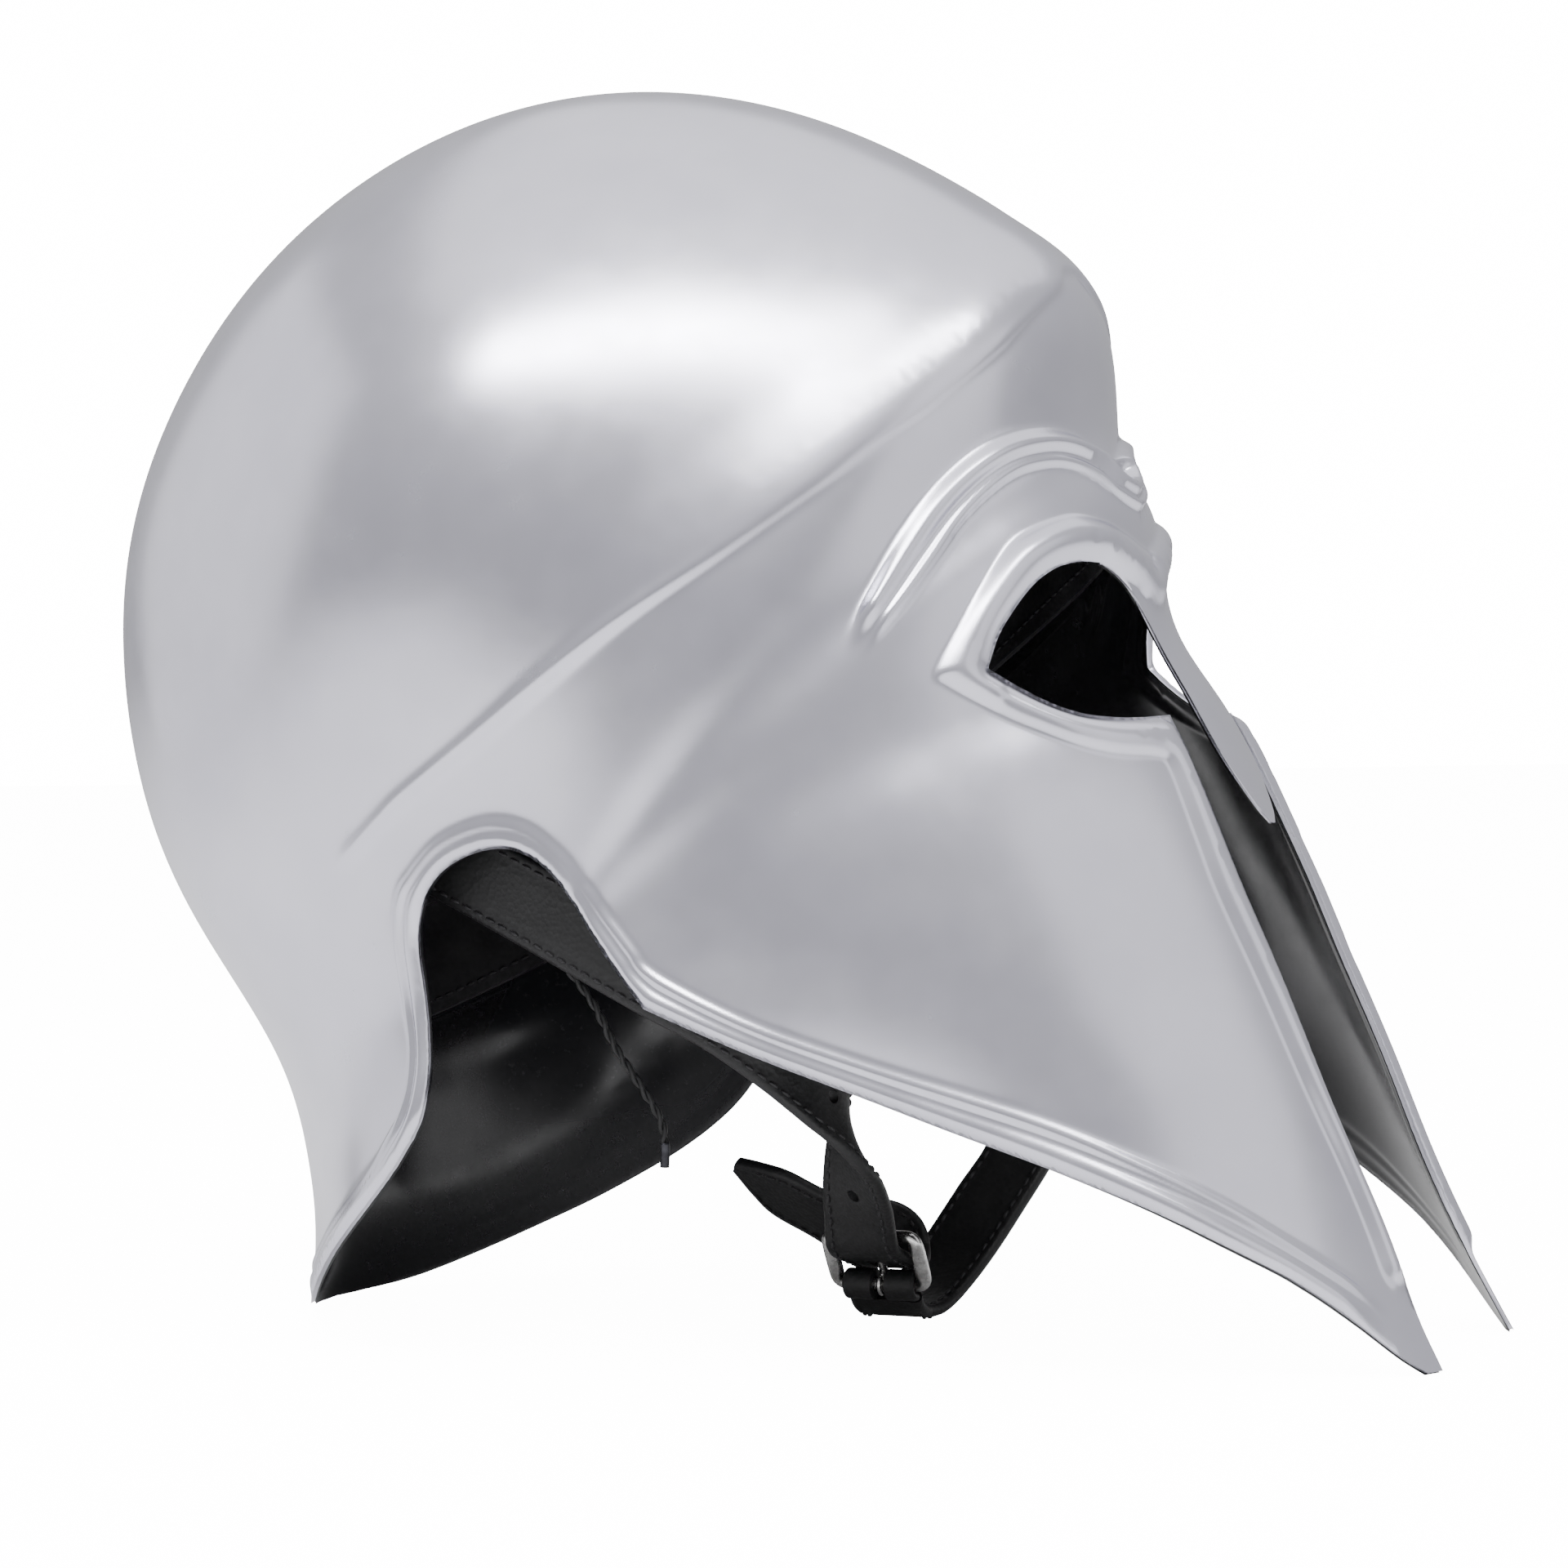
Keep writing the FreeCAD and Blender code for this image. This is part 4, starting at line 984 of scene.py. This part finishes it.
def anchor_hole(y):
    return tube([(ANCHOR_X, y - 6, 0), (ANCHOR_X, y + 6, 0)], 2.08, 28)


def strap_stitching(name, frames, reach, part):
    """Two rows on each face, reach away from the centre line."""
    path, across, face = frames
    runs = [stitches((path + across * (side * reach)[:, None]
                      + face * (top * STRAP_THICK * 0.46))[part], (face * top)[part])
            for side in (1, -1) for top in (1, -1)]
    add_stitching(name, runs, "chin_strap")


def round_pivot(start, end, count, reach):
    """Arc round the pivot bar, angles in degrees."""
    return np.array([PIVOT + BUCKLE_ALONG * (reach * cos(a)) + BUCKLE_OUT * (reach * sin(a))
                     for a in np.linspace(radians(start), radians(end), count)])


def add_right_strap():
    steps = 480
    half = BUCKLE_HALF_LENGTH
    shape, frames, widths = strap_ribbon(RIGHT_STATIONS, RIGHT_WIDTHS, steps)
    path, _, face = frames
    cutters = []
    for hole in HOLE_PLACES:
        i = int(round(hole / 57 * (steps - 1)))
        cutters.append(tube([path[i] - face[i] * 5, path[i] + face[i] * 5], HOLE_RADIUS, 28))
    cutters.append(slot_cutter([(half + 1.0, -2.4), (half + 1.0, 4.2), (-half - 4.5, 9.6),
                                (-half - 4.5, -1.4)]))
    cutters.append(anchor_hole(-ANCHOR_Y))
    add_leather("strap_right_leather", shape, STRAP, "chin_strap",
                "chin_strap_right", cutters)
    strap_stitching("strap_right_stitching", frames, widths / 2 - 2.3, slice(6, 462))


def left_slot(low_out):
    half = BUCKLE_HALF_LENGTH
    end_out = -low_out if low_out == -3.5 else 4.2
    return slot_cutter([(half + 3.5, low_out), (half + 3.5, end_out), (half - 1, 5.4),
                        (half - 9, 7.5), (half - 9, low_out)])


def add_left_strap():
    steps = 420
    shape, frames, _ = strap_ribbon(LEFT_STATIONS, LEFT_WIDTHS, steps)
    add_leather("strap_left_leather", shape, STRAP, "chin_strap",
                "chin_strap_left", [left_slot(-3.5), anchor_hole(ANCHOR_Y)])
    strap_stitching("strap_left_stitching", frames, np.full(steps, STRAP_WIDTH / 2 - 2.5),
                    slice(20, 412))
    # fold round the pivot bar, open only towards the strap
    shape, _ = ribbon(round_pivot(14, 346, 60, reach=2.8), np.tile([1.0, 0, 0], (60, 1)),
                      np.full(60, STRAP_NARROW), 1.9)
    add_leather("strap_left_fold", shape, STRAP, "chin_strap",
                cutters=[left_slot(-4.2)])


# ------------------------------------------------------------------ buckle
LOOP_RADIUS = 1.5
LOOP_SWELL = 0.35  # extra radius at the middle of the sides
CORNER_RADIUS = 2.2
PRONG_RADIUS = 1.15


def add_buckle():
    half = BUCKLE_HALF_LENGTH
    path = []
    for quarter, (x, y) in enumerate(((1, 1), (-1, 1), (-1, -1), (1, -1))):
        start = quarter * pi / 2
        for a in np.linspace(start, start + pi / 2, 10):
            path.append(on_buckle(
                x * (BUCKLE_HALF_WIDTH - CORNER_RADIUS) + CORNER_RADIUS * cos(a),
                y * (half - CORNER_RADIUS) + CORNER_RADIUS * sin(a), 0))
    path = resample(np.vstack([path, path[0]]), 0.45)[:-1]
    along = np.abs((path - BUCKLE_CENTRE) @ BUCKLE_ALONG)
    radii = LOOP_RADIUS + LOOP_SWELL * (1 - np.clip((along - 2.0) / (half - 2.0), 0, 1)**2)
    add_piece("buckle_loop", tube(path, radii, 20, closed=True), BUCKLE, "buckle",
              "buckle_frame")

    eye = round_pivot(-170, 165, 40, reach=2.2)
    rest = LOOP_RADIUS + PRONG_RADIUS
    rod = catmull([PIVOT + BUCKLE_OUT * 2.55 - BUCKLE_ALONG * 0.4,
                   PIVOT + BUCKLE_OUT * 2.45 - BUCKLE_ALONG * 4.5,
                   on_buckle(0, -half + 4.5, 2.95), on_buckle(0, -half, rest + 0.65),
                   on_buckle(0, -half - 1.6, rest + 0.7)], 50)
    radii = np.interp(np.linspace(0, 1, 50), [0, 0.1, 0.8, 0.96, 1],
                      [0.9, PRONG_RADIUS, 1.1, 0.8, 0.3])
    add_piece("buckle_tongue", merge([tube(eye, 0.66, 12), tube(rod, radii, 16)]), BUCKLE,
              "prong", "buckle_prong")


add_right_strap()
add_left_strap()
add_buckle()

# ------------------------------------------------------------------ liner
LINER_X = -44.0
HEM_SLOPE, HEM_X, HEM_Z = 0.60, -115.3, -57.6
BAND_HEIGHT = 46.0
BAND_DEPTHS = (4.2, 6.2)    # near and far side, measured inwards from the form
TONGUE_DEPTHS = (6.6, 8.4)
LINER_CENTRE = np.array([LINER_X, 0.0, 25.0])
TONGUE_HALF_ANGLE = 21.2
TONGUES = [  # name, azimuth in degrees from the front towards the left
    ("liner_tongue_front", 0.0), ("liner_tongue_front_left", 51.4),
    ("liner_tongue_left", 102.9), ("liner_tongue_rear_left", 154.3),
    ("liner_tongue_rear_right", 205.7), ("liner_tongue_right", 257.1),
    ("liner_tongue_front_right", 308.6)]


def hem_z(x):
    return HEM_Z + HEM_SLOPE * (x - HEM_X)


def cast(directions):
    """Points where rays from the liner centre meet the form."""
    shape = directions.shape[:-1]
    low, high = np.zeros(shape), np.full(shape, 330.0)
    found = np.zeros(shape, bool)
    previous = 0.0
    for reach in np.linspace(5, 330, 66):
        out = form_value(LINER_CENTRE + directions * reach) > 0
        new = out & ~found
        low = np.where(new, previous, low)
        high = np.where(new, reach, high)
        found |= out
        previous = reach
    low, _ = bisect(low, high, lambda reach: form_value(
        LINER_CENTRE + directions * reach[..., None]) <= 0, 26)
    return LINER_CENTRE + directions * low[..., None]


def slab(middle, normals, thick, closed=False):
    """Closed sheet of the given thickness about a grid of points."""
    nu, nv = middle.shape[:2]
    verts = np.vstack([(middle + normals * thick / 2).reshape(-1, 3),
                       (middle - normals * thick / 2).reshape(-1, 3)])
    back = nu * nv

    def at(i, j):
        return (i % nu) * nv + j

    faces = []
    for i in range(nu if closed else nu - 1):
        for j in range(nv - 1):
            a, b, c, d = at(i, j), at(i + 1, j), at(i + 1, j + 1), at(i, j + 1)
            faces.append((a, b, c, d))
            faces.append((back + a, back + d, back + c, back + b))
    if closed:
        rims = [[at(i, 0) for i in range(nu)], [at(i, nv - 1) for i in range(nu)][::-1]]
    else:
        rims = [[at(i, 0) for i in range(nu)] + [at(nu - 1, j) for j in range(1, nv)]
                + [at(i, nv - 1) for i in range(nu - 2, -1, -1)]
                + [at(0, j) for j in range(nv - 2, 0, -1)]]
    for rim in rims:
        for a, b in zip(rim, rim[1:] + rim[:1]):
            faces.append((a, back + a, back + b, b))
    return verts, faces


def add_headband():
    rows = 26
    angle, rise = np.meshgrid(np.linspace(0, 2 * pi, 420, endpoint=False),
                              np.linspace(0, BAND_HEIGHT, rows), indexing="ij")

    def band_point(reach):
        x = LINER_X + reach * np.cos(angle)
        return np.stack([x, reach * np.sin(angle), hem_z(x) + rise], -1)

    reach, _ = bisect(np.full(angle.shape, 20.0), np.full(angle.shape, 260.0),
                      lambda r: form_value(band_point(r)) <= 0, 40)
    surface = band_point(reach)
    normals = form_normal(surface)
    # slight ripples low and high on the band
    wave = (0.22 * np.sin(angle * 17 + 1.3) * bell(rise - 8, width=12)
            + 0.18 * np.sin(angle * 29) * bell(rise - 38, width=10))
    middle = surface - normals * (sum(BAND_DEPTHS) / 2 - wave[..., None] * 0.8)
    add_leather("headband_leather", slab(middle, normals, 1.9, closed=True), LINER,
                "helmet", "liner_headband")
    runs = []
    for row, side in ((2, -1), (rows - 3, -1), (2, 1)):
        out = side * normals[:, row]
        line = middle[:, row] + out * 0.95
        runs.append(stitches(np.vstack([line, line[:1]]), np.vstack([out, out[:1]])))
    add_stitching("headband_stitching", runs, "helmet")


def lowest_z(x):
    """Lower end of the tongues, kept higher at the sides."""
    z = hem_z(x) + BAND_HEIGHT - 14.0
    return np.where((x > -98) & (x < -38), np.maximum(z, 17.0), z)


def directions(azimuth, rise):
    return np.stack([np.cos(rise) * np.cos(azimuth), np.cos(rise) * np.sin(azimuth),
                     np.sin(rise)], -1)


def add_tongue(name, azimuth):
    nu, nv = 41, 56
    u = np.linspace(-1, 1, nu)
    centre = radians(azimuth)
    end_radius = 27.0 + 20.0 * np.abs(u)**3.0

    def too_low(rise):
        q = cast(directions(centre + u * radians(TONGUE_HALF_ANGLE), rise))
        return ~(q[:, 2] > lowest_z(q[:, 0]))

    def short_of_end(rise):
        q = cast(directions(centre + u * radians(19.5), rise))
        return np.hypot(q[:, 0] - LINER_X, q[:, 1]) > end_radius

    _, bottom = bisect(np.full(nu, radians(-65.0)), np.full(nu, radians(60.0)), too_low, 22)
    top, _ = bisect(np.full(nu, radians(40.0)), np.full(nu, radians(89.9)), short_of_end, 22)
    across, up = np.meshgrid(u, np.linspace(0, 1, nv), indexing="ij")
    rise = bottom[:, None] + (top[:, None] - bottom[:, None]) * up
    # the sides draw in towards the crown
    spread = np.radians(TONGUE_HALF_ANGLE - 5.0 * ease(up, start=0.72, over=0.28))
    surface = cast(directions(centre + across * spread, rise))
    normals = form_normal(surface)
    puff = (1.0 * np.cos(across * pi / 2)**0.6
            * np.sin(np.pi * np.clip(up * 0.95 + 0.03, 0, 1)))
    puff = puff + 0.16 * np.sin(up * 21 + across * 2.0 + azimuth) * np.sin(np.pi * up)
    middle = surface - normals * (sum(TONGUE_DEPTHS) / 2 + puff[..., None] * 0.8)
    add_leather(name + "_leather", slab(middle, normals, 1.7), LINER, "helmet",
                name)
    border = ([(2, j) for j in range(3, nv - 3)] + [(i, nv - 3) for i in range(3, nu - 3)]
              + [(nu - 3, j) for j in range(nv - 4, 2, -1)])
    i, j = np.array(border).T
    run = stitches(middle[i, j] - normals[i, j] * 0.85, -normals[i, j], pitch=4.0, length=2.7)
    add_stitching(name + "_stitching", [run], "helmet")


add_headband()
for tongue_name, tongue_azimuth in TONGUES:
    add_tongue(tongue_name, tongue_azimuth)

# ------------------------------------------------------------------ cords
CROWN_RING_RADIUS = 33.0
CROWN_CORD_GAP = 2.5  # cord centre below the inner side of the tongues
LACE_PATH = [
    (-60.0, -83.0224, 14.0), (-58.8, -78.2, 13.6), (-57.0, -73.6, 11.2), (-54.6, -71.6, 6.0),
    (-51.6, -71.1, -1.0), (-47.6, -71.0, -9.0), (-41.0, -70.8, -19.0), (-30.0, -69.0, -33.5),
    (-20.0, -66.0, -47.3), (-15.6, -62.3, -58.9), (-10.6, -59.0, -68.6), (-7.4, -56.3, -76.0),
    (-6.8, -55.4, -82.0), (-7.2, -55.0, -87.4)]


def twist(path, radius, offset, turns, seg, closed=False):
    """Two strands wound round a path."""
    sides, cross = carried_sides(tangents(path, closed), (0, 0, 1.0))
    a = np.linspace(0, 2 * pi * turns, len(path), endpoint=not closed)
    return [tube(path + offset * (sides * np.cos(a + phase)[:, None]
                                  + cross * np.sin(a + phase)[:, None]), radius, seg, closed)
            for phase in (0, pi)]


def knot(centre, reach, side_reach, radius, angles, drop=0.0):
    """Closed loops about a point, each turned round Y by one of the angles."""
    circle = np.linspace(0, 2 * pi, 30, endpoint=False)
    return [tube([centre + np.array([reach * cos(b) * cos(p), side_reach * sin(b),
                                     reach * cos(b) * sin(p) - drop]) for b in circle],
                 radius, 8, True) for p in angles]


def add_crown_cord():
    a = np.linspace(0, 2 * pi, 240, endpoint=False)
    x, y = LINER_X + CROWN_RING_RADIUS * np.cos(a), CROWN_RING_RADIUS * np.sin(a)
    z, _ = bisect(np.full(240, 60.0), np.full(240, 175.0),
                  lambda z: form_value(np.stack([x, y, z], -1)) <= 0, 40)
    ring = np.stack([x, y, z], -1)
    ring = ring - form_normal(ring) * (TONGUE_DEPTHS[1] + CROWN_CORD_GAP)
    strands = twist(ring, radius=0.85, offset=0.72, turns=46, seg=8, closed=True)
    loops = knot(ring[120], reach=1.9, side_reach=2.3, radius=0.85, angles=(0.3, 1.5, 2.6),
                 drop=0.6)
    add_piece("crown_cord", merge(strands + loops), LACE, "helmet", "crown_lace")


def add_lace():
    path = resample(catmull(LACE_PATH, 300), 0.45)
    strands = twist(path, radius=0.58, offset=0.50, turns=15, seg=9)
    loops = knot(np.array(LACE_PATH[0]), reach=2.0, side_reach=1.6, radius=0.66,
                 angles=(0.2, 1.3, 2.4))
    add_piece("lace_cord_tail", merge(strands + loops), LACE, "lace", "lace_tail")
    add_piece("lace_end_tip", tube(path[-14:], 1.12, 14), TIP, "lace", fix=False)


add_crown_cord()
add_lace()

for fitting in ("strap_stud_left", "strap_stud_right", "strap_washer_left",
                "strap_washer_right", "band_studs", "band_washers"):
    fitting_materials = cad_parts[fitting].data.materials
    fitting_materials.clear()
    fitting_materials.append(FITTING)


# ------------------------------------------------------------------ stage (metres)
def add_floor():
    """Pale floor that glows white to the camera only."""
    half = 6.0
    data = bpy.data.meshes.new("floor")
    data.from_pydata([(-half, -half, 0), (half, -half, 0), (half, half, 0), (-half, half, 0)],
                     [], [(0, 1, 2, 3)])
    floor = add_object("floor", data)
    floor.location.z = -0.0006
    material, tree, shader = base_material(
        "floor_pale", base=(0.93, 0.93, 0.93), metal=0.0, rough=0.9, spec=0.1)
    data.materials.append(material)
    light_path = tree.nodes.new("ShaderNodeLightPath")
    glow = tree.nodes.new("ShaderNodeMath")
    glow.operation = "MULTIPLY"
    glow.inputs[1].default_value = 14.0
    tree.links.new(light_path.outputs["Is Camera Ray"], glow.inputs[0])
    shader.inputs["Emission Color"].default_value = (1, 1, 1, 1)
    tree.links.new(glow.outputs[0], shader.inputs["Emission Strength"])


def area(name, place, aim, size, power):
    light = bpy.data.lights.new(name, "AREA")
    light.shape = "RECTANGLE"
    light.size, light.size_y = size
    light.energy = power
    obj = add_object(name, light)
    obj.location = place
    facing = Vector(aim) - Vector(place)
    obj.rotation_euler = facing.to_track_quat("-Z", "Y").to_euler()


def add_world():
    """Soft grey gradient for lighting, plain white to the camera."""
    world = bpy.data.worlds.new("studio")
    bpy.context.scene.world = world
    world.use_nodes = True
    tree = world.node_tree
    tree.nodes.clear()
    output = tree.nodes.new("ShaderNodeOutputWorld")
    gradient = tree.nodes.new("ShaderNodeBackground")
    white = tree.nodes.new("ShaderNodeBackground")
    mix = tree.nodes.new("ShaderNodeMixShader")
    light_path = tree.nodes.new("ShaderNodeLightPath")
    coords = tree.nodes.new("ShaderNodeTexCoord")
    split = tree.nodes.new("ShaderNodeSeparateXYZ")
    tree.links.new(coords.outputs["Generated"], split.inputs["Vector"])
    rise = tree.nodes.new("ShaderNodeMapRange")
    rise.inputs["From Min"].default_value = -1
    rise.inputs["From Max"].default_value = 1
    tree.links.new(split.outputs["Z"], rise.inputs["Value"])
    greys = tree.nodes.new("ShaderNodeValToRGB")
    tree.links.new(rise.outputs["Result"], greys.inputs["Fac"])
    elements = greys.color_ramp.elements
    elements[0].color = (0.45, 0.45, 0.45 * 1.015, 1)
    for position, grey in ((0.47, 0.50), (0.58, 0.62), (0.80, 0.78)):
        elements.new(position).color = (grey, grey, grey * 1.015, 1)
    elements[-1].color = (0.9, 0.9, 0.91, 1)
    tree.links.new(greys.outputs["Color"], gradient.inputs["Color"])
    gradient.inputs["Strength"].default_value = 0.95
    white.inputs["Color"].default_value = (1, 1, 1, 1)
    white.inputs["Strength"].default_value = 16.0
    tree.links.new(light_path.outputs["Is Camera Ray"], mix.inputs[0])
    tree.links.new(gradient.outputs[0], mix.inputs[1])
    tree.links.new(white.outputs[0], mix.inputs[2])
    tree.links.new(mix.outputs[0], output.inputs[0])


def add_camera(azimuth, elevation, roll, distance):
    """Camera looking at the helmet's origin; angles in degrees."""
    data = bpy.data.cameras.new("view_camera")
    camera = add_object("view_camera", data)
    data.lens = 94.31
    data.sensor_width = 36.0
    data.clip_start = 0.01
    a, e, r = map(radians, (azimuth, elevation, roll))
    level = Vector((cos(a), sin(a), 0))
    back = Vector((sin(a) * cos(e), -cos(a) * cos(e), sin(e)))
    upright = level.cross(-back)
    right = level * cos(r) + upright * sin(r)
    up = -level * sin(r) + upright * cos(r)
    place = back * distance + Vector(ORIGIN * MM)
    camera.matrix_world = Matrix((*zip(right, up, back, place), (0, 0, 0, 1)))
    bpy.context.scene.camera = camera


add_floor()
area("key", place=(0.02, -0.98, 1.44), aim=(0.01, -0.07, 0.235), size=(1.05, 0.24), power=19)
area("key_side", place=(0.80, -0.58, 1.50), aim=(0.04, -0.05, 0.24), size=(0.80, 0.20), power=9)
area("top", place=(0.0, 0.3, 2.0), aim=(0, 0, 0.1), size=(2.6, 2.6), power=16)
area("left", place=(-2.4, -0.2, 0.9), aim=(0, 0, 0.15), size=(2.0, 2.0), power=9)
area("front", place=(2.6, -0.7, 0.9), aim=(0, 0, 0.12), size=(2.2, 2.2), power=8.5)
add_world()
add_camera(azimuth=25.08, elevation=1.27, roll=-1.36, distance=1.0)
